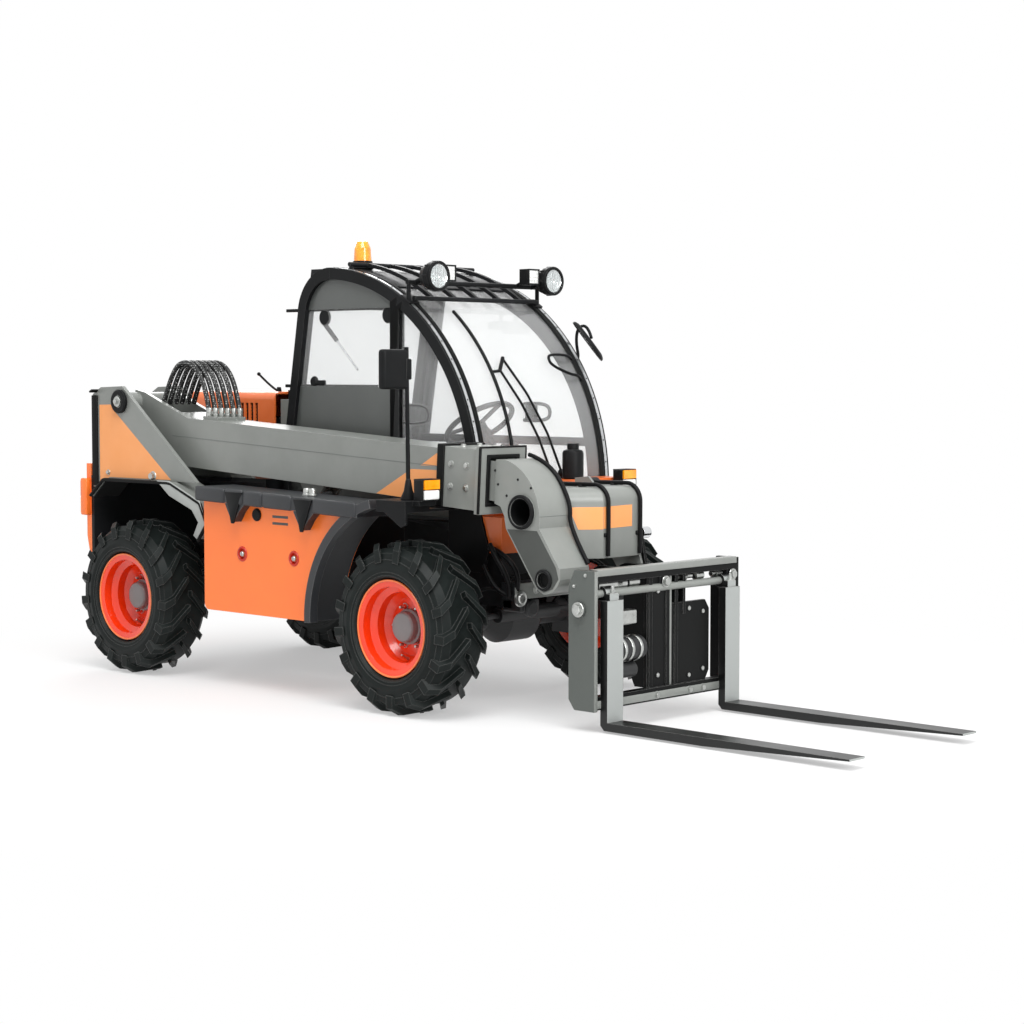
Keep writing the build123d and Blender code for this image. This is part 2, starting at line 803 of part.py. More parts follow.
with BuildPart() as door_frame:
    door_y = cab_left - 2
    gap = 6
    extrude(cab_shape(hoop_depth + gap, cab_base + gap, door_y), amount=40)
    extrude(cab_shape(hoop_depth + gap + 42, cab_base + gap + 42, door_y), amount=40, mode=Mode.SUBTRACT)
    extrude(
        cab_shape(hoop_depth + gap + 20, cab_base + gap + 20, door_y, None, (1130, 1170)),
        amount=40,
    )
    for z in door_hinges:
        x = door_axis(z, 0)[0]
        block((x + 5, x + 36), (door_y - 2, cab_left + 4), (z - 18, z + 18))
        bar(door_axis(z, -20), door_axis(z, 20), 9)
        bar(door_axis(z, -20), door_axis(z, 20), door_pin_radius + fit_gap, Mode.SUBTRACT)
save(door_frame.part, "door_frame")

with BuildPart() as door_glass:
    for z_span in ((cab_base, 1130), (1170, 2100)):
        extrude(
            cab_shape(hoop_depth + gap + 42, cab_base + gap + 42, door_y - 16, None, z_span),
            amount=pane,
        )
save(door_glass.part, "door_glass")

seat_y = 280
with BuildPart() as seat_frame:
    block((front_x - 1180, front_x - 800), (seat_y - 190, seat_y + 190), (cab_floor + 20, 870))
save(seat_frame.part, "seat_frame")

with BuildPart() as seat_cushions:
    block((front_x - 1200, front_x - 740), (seat_y - 230, seat_y + 230), (870, 980))
    plate(
        [
            (front_x - 1200, 980.3),
            (front_x - 1100, 980.3),
            (front_x - 1180, 1400),
            (front_x - 1270, 1400),
        ],
        seat_y - 220,
        seat_y + 220,
    )
save(seat_cushions.part, "seat_cushions")

with BuildPart() as steering_column:
    plate(
        [
            (front_x - 420, cab_base),
            (front_x - 120, cab_base),
            (front_x - 150, cab_base + 150),
            (front_x - 250, cab_base + 230),
            (front_x - 340, cab_base + 200),
        ],
        seat_y - 120,
        seat_y + 120,
    )
    bar((front_x - 300, seat_y, cab_base + 180), (front_x - 470, seat_y, cab_base + 420), 28)
    wheel_plane = Plane(origin=(front_x - 470, seat_y, cab_base + 420), z_dir=(-170, 0, 240))
    with Locations(wheel_plane.location):
        Torus(170, 13)
        with PolarLocations(85, 3):
            Box(170, 26, 10)
save(steering_column.part, "steering_column")

# ---------------------------------------------------------------- lamps, mirrors, wipers
lamp_x = hoop_x + 687
lamp_z = hoop_top - 59
lamp_rail_x = hoop_x + 577
lamp_rail_z = hoop_top - 84
signal_high = 1030
round_lamps = (cab_right + 60, cab_left - 60)
square_lamps = (seat_y - 285, seat_y + 285)
beacon_x = front_x - 1010
beacon_y = 20
signal_y = 650

with BuildPart() as lamp_housings:
    bar((lamp_rail_x, cab_right + 4, lamp_rail_z), (lamp_rail_x, cab_left - 4, lamp_rail_z), 12)
    for y in (cab_right + 14, cab_left - 14):
        bar((lamp_rail_x, y, lamp_rail_z), (lamp_rail_x, y, lamp_rail_z - 115), 10)
    bar((beacon_x, beacon_y, hoop_top - 10), (beacon_x, beacon_y, hoop_top + 34), 46)
    extrude(cab_shape(0, 0, cab_left), amount=cab_left - cab_right, mode=Mode.SUBTRACT)
    for y in round_lamps:
        with BuildSketch(Plane.XZ.offset(-y)):
            with BuildLine():
                Polyline(
                    (lamp_x - 48, lamp_z),
                    (lamp_x - 48, lamp_z + 30),
                    (lamp_x - 30, lamp_z + 55),
                    (lamp_x + 5, lamp_z + 68),
                    (lamp_x + 45, lamp_z + 68),
                    (lamp_x + 45, lamp_z + 58),
                    (lamp_x + 30, lamp_z + 58),
                    (lamp_x + 30, lamp_z),
                    close=True,
                )
            make_face()
        revolve(axis=Axis((0, y, lamp_z), (1, 0, 0)))
        bar((lamp_x - 30, y, lamp_z), (lamp_rail_x, y, lamp_rail_z), 14)
    for y in square_lamps:
        block((lamp_x - 50, lamp_x + 10), (y - 38, y + 38), (lamp_z - 20, lamp_z + 56))
        block((lamp_x, lamp_x + 11), (y - 33, y + 33), (lamp_z - 15, lamp_z + 51), Mode.SUBTRACT)
        bar((lamp_x - 48, y, lamp_z), (lamp_rail_x, y, lamp_rail_z), 10)
    for side in (-1, 1):
        y = side * signal_y
        block(
            (front_x + 100, front_x + 150),
            (y - 48, y + 48),
            (front_guard_high + seat_gap, signal_high),
        )
save(lamp_housings.part, "lamp_housings")

with BuildPart() as amber_lenses:
    with BuildSketch(Plane.XZ.offset(-beacon_y)):
        with BuildLine():
            Polyline(
                (beacon_x, hoop_top + 34),
                (beacon_x + 44, hoop_top + 34),
                (beacon_x + 40, hoop_top + 100),
                (beacon_x + 26, hoop_top + 132),
                (beacon_x, hoop_top + 140),
                close=True,
            )
        make_face()
    revolve(axis=Axis((beacon_x, beacon_y, 0), (0, 0, 1)))
    for side in (-1, 1):
        y = side * signal_y
        block((front_x + 150, front_x + 166), (y - 44, y + 44), (signal_high - 44, signal_high - 4))
save(amber_lenses.part, "amber_lenses")

mirror_edge = overall_width / 2
with BuildPart() as mirrors:
    pole_y = -655
    bar((front_x + 20, pole_y, front_guard_high), (front_x + 20, pole_y, front_guard_high + 60), 20)
    bar((front_x + 20, pole_y, front_guard_high + 60), (front_x + 10, pole_y, 1600), 9)
    block((front_x - 20, front_x + 22), (-mirror_edge, pole_y + 9), (1415, 1585))
    # the left one hangs from the hoop on a bent arm, turned down and to the rear
    foot_x = hoop_x + (hoop_radius - hoop_depth / 2) * cos(radians(36))
    foot_z = hoop_z + (hoop_radius - hoop_depth / 2) * sin(radians(36))
    arm = [
        (foot_x, cab_left, foot_z),
        (foot_x, cab_left + 30, foot_z),
        (foot_x - 28, cab_left + 34, foot_z + 100),
        (foot_x + 40, cab_left + 34, foot_z + 158),
        (foot_x + 96, mirror_edge - 77, foot_z + 98),
    ]
    pipe(arm, 9, 7)
    glass_way = (-0.578, -0.553, -0.6)
    glass_middle = (foot_x + 98, mirror_edge - 73, foot_z + 100)
    with BuildSketch(Plane(origin=glass_middle, x_dir=(0.433, 0.415, -0.8), z_dir=glass_way)):
        Ellipse(118, 75)
    extrude(amount=18)
save(mirrors.part, "mirrors")



def screen_place(angle, y, out):
    """A place in front of the windscreen, at an angle above level and a distance out."""
    reach = hoop_radius + out
    return (hoop_x + reach * cos(radians(angle)), y, hoop_z + reach * sin(radians(angle)))


with BuildPart() as wipers:
    for arm_y, foot, top_y, top in ((308, 3.5, 118, 31), (378, 3.5, 168, 35)):
        arm = []
        for i in range(4):
            share = i / 3
            place = screen_place(foot + (top - foot) * share, arm_y + (top_y - arm_y) * share, 16)
            arm.append(place)
        pipe(arm, 260, 6)
        block(
            (screen_x + 4, arm[0][0] + 12),
            (arm_y - 12, arm_y + 12),
            (cowl_top + seat_gap, arm[0][2] + 2),
        )
    # the carrier joins both arms to the blade
    bar(screen_place(31, 112, 16), screen_place(35, 174, 16), 9)
    extrude(arc_band(hoop_radius + 1, hoop_radius + 12, 11, 41, 73), amount=12)
    bar(screen_place(31, 112, 16), screen_place(31, 70, 10), 7)
save(wipers.part, "wipers")

# ---------------------------------------------------------------- boom
boom_cos = cos(radians(boom_drop))
boom_sin = sin(radians(boom_drop))


def boom_xz(u, w):
    """A place in the boom's own plane, u along it from the pivot and w up across it."""
    return (pivot_x + u * boom_cos + w * boom_sin, pivot_z - u * boom_sin + w * boom_cos)


def boom_plate(outline, y_low, y_high, mode=Mode.ADD):
    """An outline of (u, w) points, extruded between two places in y."""
    plate([boom_xz(u, w) for u, w in outline], y_low, y_high, mode)


def boom_box(u_low, u_high, width, depth, mode=Mode.ADD):
    """A box round the boom's centreline."""
    x, z = boom_xz(u_low, boom_centre_w)
    section = Plane(origin=(x, boom_y, z), x_dir=(0, 1, 0), z_dir=(boom_cos, 0, -boom_sin))
    with BuildSketch(section) as end:
        Rectangle(width, depth)
    extrude(end.sketch, amount=u_high - u_low, mode=mode)


boom_right = boom_y - boom_width / 2
boom_left = boom_y + boom_width / 2
inner_width = 150
inner_depth = 170
collar_start = 2235
collar_end = 2455
hose_pitch = 27
hose_start_u = 535
hose_block_w = -38
rod_eye_u = 1312
rod_eye_w = -345
rod_eye_x, rod_eye_z = boom_xz(rod_eye_u, rod_eye_w)

with BuildPart() as boom_outer:
    boom_box(200, boom_end_u, boom_width, boom_depth)
    boom_plate(
        [(-50, 30), (-10, 58), (60, 50), (420, -56), (420, -294), (200, -294), (-40, -50)],
        boom_right,
        boom_left,
    )
    boom_box(collar_start, collar_end, boom_width + 24, boom_depth + 24)
    boom_box(collar_end, boom_end_u, boom_width + 56, boom_depth + 50)
    boom_box(
        212, boom_end_u, boom_width - 2 * boom_wall, boom_depth - 2 * boom_wall, Mode.SUBTRACT
    )
    boom_plate(
        [(-60, 70), (340, 70), (340, -56), (200, -290), (-60, -290)],
        boom_right + 24,
        boom_left - 24,
        Mode.SUBTRACT,
    )
    # wear pads round the inner boom
    boom_box(2320, 2400, boom_width - 2 * boom_wall, boom_depth - 2 * boom_wall)
    boom_box(2310, 2410, inner_width + 2 * fit_gap, inner_depth + 2 * fit_gap, Mode.SUBTRACT)
    # manifold block that the hoses start from
    boom_plate(
        [
            (hose_start_u - 20, -57),
            (hose_start_u + 90, -57),
            (hose_start_u + 90, hose_block_w),
            (hose_start_u - 20, hose_block_w),
        ],
        boom_right + 22,
        boom_left - 22,
    )
    # pivot bosses, and the lift cylinder's lugs
    pin_x, pin_z = boom_xz(0, 0)
    bar((pin_x, boom_right - 15, pin_z), (pin_x, boom_left + 15, pin_z), 46)
    bar((pin_x, boom_right - 15, pin_z), (pin_x, boom_left + 15, pin_z), boom_pin_radius + fit_gap, Mode.SUBTRACT)
    for y in (boom_y - 62, boom_y + 44):
        boom_plate(
            [
                (rod_eye_u - 90, -295),
                (rod_eye_u + 90, -295),
                (rod_eye_u + 32, rod_eye_w - 32),
                (rod_eye_u - 32, rod_eye_w - 32),
            ],
            y,
            y + lug_wall,
        )
    for y in (boom_y - 74, boom_y + 62):
        bar((rod_eye_x, y, rod_eye_z), (rod_eye_x, y + 12, rod_eye_z), 24)
save(boom_outer.part, "boom_outer")

with BuildPart() as boom_hoses:
    for i in range(6):
        y = boom_y + (i - 2.5) * hose_pitch
        u = hose_start_u + i * 14
        x, z = boom_xz(u, hose_block_w + seat_gap)
        x_top, z_top = boom_xz(u, hose_block_w + 40)
        bar((x, y, z), (x_top, y, z_top), 13)
        run = [
            (x_top, y, z_top),
            (x - 60, y, 1480),
            (x - 170, y, 1548),
            (x - 290, y, 1505),
            (x - 365, y, 1330),
        ]
        pipe(run, 60, 12.5)
save(boom_hoses.part, "boom_hoses")

inner_start = 900
head_start = 2520
with BuildPart() as boom_inner:
    boom_box(inner_start, head_start, inner_width, inner_depth)
    boom_box(inner_start, head_start, inner_width - 12, inner_depth - 12, Mode.SUBTRACT)
save(boom_inner.part, "boom_inner")

# The head: a gooseneck beside the cab's line, and a box that brings the carriage's
# pin to the machine's middle.
head_right = -470
head_mid = -285
head_left = 100
head_wall = 12
tilt_base_x = tilt_x - 290
tilt_base_z = 985
neck_x = tilt_x - 282
neck_z = 866
neck_radius = 256
access_x = tilt_x - 126
access_z = 896
access_radius = 59
access_ring = 72
bore_radius = 33
bore_ring = 44
box_low_z = 690
box_top = 992
box_rear_x = tilt_x - 220
box_front = tilt_x + 50
box_round = 60
box_slant_y = -150
head_hose_radius = 9.5
head_hose_off = head_hose_radius + seat_gap
side_outline = [
    (tilt_x - 330, 1015),
    (tilt_x - 250, 1025),
    (tilt_x - 210, 985),
    (tilt_x - 30, 975),
    (tilt_x + 38, 905),
    (tilt_x + 50, 690),
    (tilt_x + 62, 655),
    (tilt_x + 50, 590),
    (tilt_x, 565),
    (tilt_x - 50, 590),
    (tilt_x - 200, 800),
    (tilt_x - 330, 955),
]


def neck_shape(inset, y_high):
    """The gooseneck's side outline, set in by a wall."""
    with BuildSketch(Plane.XZ.offset(-y_high)) as shape:
        with BuildLine():
            crown = CenterArc((neck_x, neck_z), neck_radius, -8, 84.6)
            toe = ThreePointArc(
                (tilt_x + 90, tilt_z + 7), (tilt_x + 53, tilt_z - 44), (tilt_x - 8, tilt_z - 59)
            )
            Polyline(crown @ 0, (tilt_x + 88, tilt_z + 53), toe @ 0)
            Polyline(
                toe @ 1,
                (tilt_x - 46, tilt_z - 38),
                (tilt_x - 222, 822),
                (tilt_x - 232, 875),
                (tilt_x - 255, 915),
                boom_xz(head_start, boom_centre_w - 95),
                boom_xz(head_start, boom_centre_w + 95),
                crown @ 1,
            )
        make_face()
        if inset:
            offset(amount=-inset, kind=Kind.INTERSECTION)
    return shape.sketch


def box_form(inset):
    """The box over the carriage's pin, set in by a wall and open below."""
    with BuildPart() as form:
        with BuildSketch(Plane.XY.offset(box_low_z - inset)):
            with BuildLine():
                Polyline(
                    (box_rear_x, head_mid),
                    (tilt_x - 45, head_mid),
                    (box_front, box_slant_y),
                    (box_front, head_left),
                    (box_rear_x, head_left),
                    close=True,
                )
            make_face()
            if inset:
                offset(amount=-inset, kind=Kind.INTERSECTION)
        extrude(amount=box_top - box_low_z)
        upper = form.edges().group_by(Axis.Z)[-1]
        fillet(upper.filter_by_position(Axis.X, tilt_x - 40, box_front + 1), box_round - inset)
    return form.part


with BuildPart() as boom_head:
    extrude(neck_shape(0, head_mid), amount=head_mid - head_right)
    extrude(
        neck_shape(head_wall, head_mid - head_wall),
        amount=head_mid - head_right - 2 * head_wall,
        mode=Mode.SUBTRACT,
    )
    # access tube, ringed on the near side and closed on the far one
    bar((access_x, head_right - 14, access_z), (access_x, head_mid - head_wall, access_z), access_ring)
    bar(
        (access_x, head_right - 14, access_z),
        (access_x, head_mid - head_wall, access_z),
        access_radius,
        Mode.SUBTRACT,
    )
    # the pin's bore, ringed, with the pin set back in it
    bar((tilt_x, head_right - 8, tilt_z), (tilt_x, head_right + 50, tilt_z), bore_ring)
    bar((tilt_x, head_right - 8, tilt_z), (tilt_x, head_right + 16, tilt_z), bore_radius, Mode.SUBTRACT)
    add(box_form(0))
    add(box_form(head_wall), mode=Mode.SUBTRACT)
    plate(side_outline, head_left - head_wall, head_left)
    # carriage pin and the tilt cylinder's base pin
    bar((tilt_x, head_right + 16, tilt_z), (tilt_x, 135, tilt_z), tilt_pin_radius)
    bar((tilt_base_x, head_left + seat_gap, tilt_base_z), (tilt_base_x, 188, tilt_base_z), 16)
save(boom_head.part, "boom_head")

with BuildPart() as head_hoses:
    for y in (-130, 80):
        pipe(
            [
                (box_rear_x + 20, y, box_top + head_hose_off),
                (box_front + head_hose_off, y, box_top + head_hose_off),
                (box_front + head_hose_off, y, box_low_z + 10),
            ],
            box_round + head_hose_off,
            head_hose_radius,
        )
    # one down the neck's crown, beside its far edge
    neck_hose_y = head_mid - head_hose_radius - 0.5
    neck_route = [(-250, 1132), (-120.4, 1100.8), (-4.5, 930.8), (-18.3, 832.9), (92, 680)]
    pipe([(tilt_x + x, neck_hose_y, z) for x, z in neck_route], [262, 180, 60], head_hose_radius)
save(head_hoses.part, "head_hoses")

# ---------------------------------------------------------------- cylinders
def along(start, end, distance):
    """The place on a line from start to end at a distance from start."""
    way = Vector(*end) - Vector(*start)
    place = Vector(*start) + way.normalized() * distance
    return (place.X, place.Y, place.Z)


lift_base = (lift_base_x, boom_y, lift_base_z)
lift_eye = (rod_eye_x, boom_y, rod_eye_z)
lift_length = hypot(rod_eye_x - lift_base_x, rod_eye_z - lift_base_z)
with BuildPart() as lift_barrel:
    bar(along(lift_base, lift_eye, 30), along(lift_base, lift_eye, lift_length - 75), 50)
    bar(along(lift_base, lift_eye, lift_length - 120), along(lift_base, lift_eye, lift_length - 75), 56)
    bar((lift_base_x, boom_y - 40, lift_base_z), (lift_base_x, boom_y + 40, lift_base_z), 42)
    bar(
        (lift_base_x, boom_y - 40, lift_base_z),
        (lift_base_x, boom_y + 40, lift_base_z),
        lift_pin_radius + fit_gap,
        Mode.SUBTRACT,
    )
    bar(along(lift_base, lift_eye, 80), lift_eye, 26 + fit_gap, Mode.SUBTRACT)
save(lift_barrel.part, "lift_barrel")

with BuildPart() as lift_rod:
    bar(along(lift_base, lift_eye, 82), lift_eye, 26)
    bar((rod_eye_x, boom_y - 36, rod_eye_z), (rod_eye_x, boom_y + 36, rod_eye_z), 38)
save(lift_rod.part, "lift_rod")

tilt_y = 158
crank_length = 170
crank_angle = 84.4
crank_x = tilt_x + crank_length * cos(radians(crank_angle))
crank_z = tilt_z + crank_length * sin(radians(crank_angle))
tilt_base = (tilt_base_x, tilt_y, tilt_base_z)
tilt_eye = (crank_x, tilt_y, crank_z)
tilt_length = hypot(crank_x - tilt_base_x, crank_z - tilt_base_z)
with BuildPart() as tilt_barrel:
    bar(along(tilt_base, tilt_eye, 20), along(tilt_base, tilt_eye, 285), 30)
    bar((tilt_base_x, tilt_y - 26, tilt_base_z), (tilt_base_x, tilt_y + 26, tilt_base_z), 32)
    bar(
        (tilt_base_x, tilt_y - 26, tilt_base_z),
        (tilt_base_x, tilt_y + 26, tilt_base_z),
        16 + fit_gap,
        Mode.SUBTRACT,
    )
    bar(along(tilt_base, tilt_eye, 45), tilt_eye, 16 + fit_gap, Mode.SUBTRACT)
save(tilt_barrel.part, "tilt_barrel")

with BuildPart() as tilt_rod:
    bar(along(tilt_base, tilt_eye, 93), tilt_eye, 16)
    bar((crank_x, tilt_y - 24, crank_z), (crank_x, tilt_y + 24, crank_z), 25)
save(tilt_rod.part, "tilt_rod")

# ---------------------------------------------------------------- carriage and forks
fork_wall = 38
fork_back = fork_face - fork_wall
fork_low = 10
fork_top = 45
fork_out = 442
fork_width = 100
rail_z = 575
shank_top = 548
hook_radius = 30
fork_rail_x = fork_back - 17
side_wall = 20

with BuildPart() as carriage:
    for side in (-1, 1):
        y_in, y_out = sorted((side * (carriage_half - side_wall), side * carriage_half))
        plate(
            [
                (fork_back - 110, 672),
                (fork_back, 672),
                (fork_back, 88),
                (fork_back - 110, 88),
                (fork_back - 142, 130),
                (fork_back - 142, 600),
            ],
            y_in,
            y_out,
        )
        bar((fork_back - 75, side * carriage_half, 510), (fork_back - 75, side * (carriage_half + 16), 510), 26)
    half_inside = carriage_half - side_wall
    block((fork_back - 37, fork_back), (-half_inside, half_inside), (622, 672))
    bar((fork_rail_x, -half_inside, rail_z), (fork_rail_x, half_inside, rail_z), 16)
    block((fork_back - 42, fork_back), (-half_inside, half_inside), (95, 150))
    block((fork_back - 37, fork_back - 8), (-8, 14), (150, 622))
    # coupler plates behind the forks' bar
    block((fork_back - 30, fork_back - 14), (-130, 8), (150, 622))
    with BuildSketch(Plane.YZ.offset(fork_back - 30)) as coupler:
        with BuildLine():
            Polyline((36, 145), (36, 500), (262, 500), (290, 460), (290, 190), (262, 145), close=True)
        make_face()
    extrude(coupler.sketch, amount=16)
    for y in (-120, 50):
        plate(
            [
                (tilt_x + 30, 655),
                (fork_back - 37, 655),
                (fork_back - 37, 150),
                (fork_back - 90, 150),
                (tilt_x + 90, 380),
                (tilt_x - 10, tilt_z - 38),
                (tilt_x - 38, tilt_z - 10),
                (tilt_x - 30, tilt_z + 28),
                (tilt_x, tilt_z + 40),
            ],
            y,
            y + 20,
        )
    # crank plate of the tilt cylinder, outside the head's left plate
    plate(
        [
            (crank_x - 24, crank_z + 10),
            (crank_x, crank_z + 26),
            (crank_x + 26, crank_z + 8),
            (tilt_x + 70, 655),
            (fork_back - 37, 655),
            (fork_back - 37, 450),
            (tilt_x, tilt_z - 40),
            (tilt_x - 38, tilt_z),
        ],
        106,
        120,
    )
    block((fork_back - 37, fork_back - 8), (106, 120), (450, 622))
    block((fork_back - 37, fork_back - 8), (-120, -100), (150, 622))
    block((fork_back - 37, fork_back - 8), (50, 70), (150, 622))
    bar((tilt_x, -130, tilt_z), (tilt_x, 125, tilt_z), tilt_pin_radius + fit_gap, Mode.SUBTRACT)
save(carriage.part, "carriage")

with BuildPart() as forks:
    for side in (-1, 1):
        y_in, y_out = sorted((side * (fork_out - fork_width), side * fork_out))
        plate(
            [
                (fork_back, shank_top),
                (fork_face, shank_top),
                (fork_face, fork_top),
                (front_x + front_reach, fork_top),
                (front_x + front_reach, fork_top - 8),
                (front_x + front_reach - 700, fork_low),
                (fork_back + 20, fork_low),
                (fork_back, fork_low + 20),
            ],
            y_in,
            y_out,
        )
        # the hook over the carriage's bar
        bar((fork_rail_x, y_in + 22, rail_z), (fork_rail_x, y_out - 22, rail_z), hook_radius)
        block((fork_rail_x, fork_face - 6), (y_in + 22, y_out - 22), (shank_top - 30, rail_z))
        bar((fork_rail_x, y_in, rail_z), (fork_rail_x, y_out, rail_z), 16 + fit_gap, Mode.SUBTRACT)
save(forks.part, "forks")
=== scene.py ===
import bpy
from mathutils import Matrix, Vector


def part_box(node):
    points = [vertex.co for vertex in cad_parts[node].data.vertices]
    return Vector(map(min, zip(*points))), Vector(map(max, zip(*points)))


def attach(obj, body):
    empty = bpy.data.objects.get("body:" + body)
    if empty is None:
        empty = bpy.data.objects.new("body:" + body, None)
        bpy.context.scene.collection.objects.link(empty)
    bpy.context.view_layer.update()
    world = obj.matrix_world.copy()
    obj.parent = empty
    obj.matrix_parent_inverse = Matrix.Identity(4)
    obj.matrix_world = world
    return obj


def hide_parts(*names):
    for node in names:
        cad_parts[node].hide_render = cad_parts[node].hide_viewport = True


bl_info = {
    "name": "Telehandler dressing",
    "version": (1, 0, 0),
    "blender": (4, 5, 0),
    "location": "View3D > Sidebar > Telehandler",
    "description": "Dresses a compact telehandler with finishes, fittings and a plain studio",
    "category": "Object",
}

from math import asin, cos, pi, radians, sin

import bmesh
import bpy
from bpy.props import FloatProperty, FloatVectorProperty, PointerProperty, StringProperty
from mathutils import Matrix, Vector

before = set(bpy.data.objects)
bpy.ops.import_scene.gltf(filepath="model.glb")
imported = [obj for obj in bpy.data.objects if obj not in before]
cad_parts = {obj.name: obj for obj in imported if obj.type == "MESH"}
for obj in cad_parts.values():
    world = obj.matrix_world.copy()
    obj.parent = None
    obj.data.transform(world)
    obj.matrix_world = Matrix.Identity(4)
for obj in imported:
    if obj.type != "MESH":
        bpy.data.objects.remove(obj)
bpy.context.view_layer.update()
finishes = {}


# ---------------------------------------------------------------- shared values
# Places and sizes are in millimetres: x forward from the front axle, y left, z up from the ground.
# Vectors, matrices and settings are in metres.
CORNERS = ("front_left", "front_right", "rear_left", "rear_right")
FORWARD, LEFT, RIGHT, UP = (1, 0, 0), (0, 1, 0), (0, -1, 0), (0, 0, 1)

BOOM_PIVOT_X, BOOM_PIVOT_Z = -2140, 1340
BOOM_DROP = radians(3.3)
BOOM_MIDDLE, BOOM_RIGHT, BOOM_LEFT = -390, -500, -280
BOOM_WAY = (cos(BOOM_DROP), 0, -sin(BOOM_DROP))
BOOM_UP = (sin(BOOM_DROP), 0, cos(BOOM_DROP))

# the windscreen's two hoops: the arc's centre and radius, and each hoop's side, middle and way out
HOOP_X, HOOP_Z, HOOP_REACH = -1077, 949, 1040
HOOPS = (("right", -140, -1), ("left", 700, 1))
CAB_SIDE = -133

TOWER_SIDE = -600
NECK_SIDE = -470
TILT_X, TILT_Z = 650, 615
BOX_HOSES = (-130, 80)

CARRIAGE_PIN_X, CARRIAGE_PIN_Z = 867, 510
CARRIAGE_FRONT = 942
MOTOR_X, MOTOR_Y, MOTOR_Z = 906, -258, 330

BOX_SIDE = -700
GUARD_SIDE = 640
DECK_Z = 1350
BEAM_FRONT = 334
LAMP_X, LAMP_Z = -390, 1930


def middle(node):
    """The middle of a node's box, in metres."""
    low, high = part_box(node)
    return (low + high) / 2


FRONT_X = middle("tyre_front_right").x


def at(x, y, z):
    """A place in the frame, in metres."""
    return Vector((FRONT_X + x / 1000, y / 1000, z / 1000))


def spot(place):
    """A place in metres, given so or as (x, y, z) in millimetres."""
    return place if isinstance(place, Vector) else at(*place)


def boom_at(u, w, y):
    """A place on the boom: u along it from its pivot, w up across it."""
    along, up = Vector(BOOM_WAY) * u, Vector(BOOM_UP) * w
    return at(BOOM_PIVOT_X, y, BOOM_PIVOT_Z) + (along + up) / 1000


def hose_foot(i):
    """How far along the boom, and how far left, one of the six hoses stands."""
    return 535 + 14 * i, BOOM_MIDDLE + (i - 2.5) * 27


def hoop_way(angle):
    """The way out of the windscreen's arc, at degrees above level."""
    return Vector((cos(radians(angle)), 0, sin(radians(angle))))


def hoop_at(angle, out, y):
    """A place on the windscreen's arc: degrees above level, and how far outside the hoop."""
    return at(HOOP_X, y, HOOP_Z) + hoop_way(angle) * (HOOP_REACH + out) / 1000


def rail_z(x):
    """The height of the side trim's rail, which drops forward."""
    return 885 - 35 * (x + 1345) / 1130


# ---------------------------------------------------------------- shared shapes
def round_edges(bm, edges, offset, segments):
    """Rounds edges of a bmesh."""
    bmesh.ops.bevel(
        bm, geom=edges, offset=offset / 1000, affect="EDGES", segments=segments, profile=0.5, material=-1
    )


def rounded_block(size, edge=3, segments=2):
    """A block about the origin with rounded edges."""
    bm = bmesh.new()
    bmesh.ops.create_cube(bm, size=1.0, matrix=Matrix.Diagonal((*(Vector(size) / 1000), 1.0)))
    round_edges(bm, bm.edges[:], edge, segments)
    return bm


def turned(profile, steps=40, closed=False):
    """A form turned round Z from (radius, height) points."""
    bm = bmesh.new()
    verts = [bm.verts.new((radius / 1000, 0, height / 1000)) for radius, height in profile]
    pairs = list(zip(verts, verts[1:])) + ([(verts[-1], verts[0])] if closed else [])
    edges = [bm.edges.new(pair) for pair in pairs]
    bmesh.ops.spin(
        bm, geom=verts + edges, cent=(0, 0, 0), axis=(0, 0, 1), angle=2 * pi, steps=steps, use_merge=True
    )
    bmesh.ops.remove_doubles(bm, verts=bm.verts, dist=1e-6)
    bmesh.ops.recalc_face_normals(bm, faces=bm.faces)
    return bm


def button(radius, height, low=0, slope=3, drop=None):
    """The profile of a round cap from low to height, with a sloped rim."""
    drop = slope if drop is None else drop
    return [(0, height), (radius - slope, height), (radius, height - drop), (radius, low), (0, low)]


def slab(outline, thickness, edge=0):
    """A flat form: an outline of (x, y) points raised along Z."""
    bm = bmesh.new()
    face = bm.faces.new([bm.verts.new((x / 1000, y / 1000, 0)) for x, y in outline])
    grown = bmesh.ops.extrude_face_region(bm, geom=[face], use_keep_orig=True)
    top = [item for item in grown["geom"] if isinstance(item, bmesh.types.BMVert)]
    bmesh.ops.translate(bm, vec=(0, 0, thickness / 1000), verts=top)
    bmesh.ops.recalc_face_normals(bm, faces=bm.faces)
    if edge:
        round_edges(bm, bm.edges[:], edge, 2)
    return bm


def swept(section, centre, sweep, steps):
    """A section carried round a line across the machine."""
    bm = bmesh.new()
    face = bm.faces.new([bm.verts.new(place) for place in section])
    bmesh.ops.spin(bm, geom=[face], cent=centre, axis=RIGHT, angle=sweep, steps=steps, use_merge=False)
    bmesh.ops.recalc_face_normals(bm, faces=bm.faces)
    return bm


def hex_bolt(across, height):
    """A hexagon head with a rounded top on a washer, standing on Z."""
    bm = bmesh.new()
    for segments, lower, upper, low, high in (
        (6, 0.577, 0.577, 1.5, height + 1.5),
        (18, 0.82, 0.78, 0, 2.5),
    ):
        bmesh.ops.create_cone(
            bm,
            cap_ends=True,
            segments=segments,
            radius1=across * lower / 1000,
            radius2=across * upper / 1000,
            depth=(high - low) / 1000,
            matrix=Matrix.Translation((0, 0, (low + high) / 2000)),
        )
        if segments == 6:
            top = [e for e in bm.edges if all(v.co.z > height * 0.0009 for v in e.verts)]
            round_edges(bm, top, across * 0.08, 1)
    return bm


# ---------------------------------------------------------------- placing shapes
def toward(place, way, spin=0.0):
    """A frame at a place with its Z along a way."""
    turn = Vector(way).to_track_quat("Z", "Y").to_matrix().to_4x4()
    return Matrix.Translation(spot(place)) @ turn @ Matrix.Rotation(spin, 4, "Z")


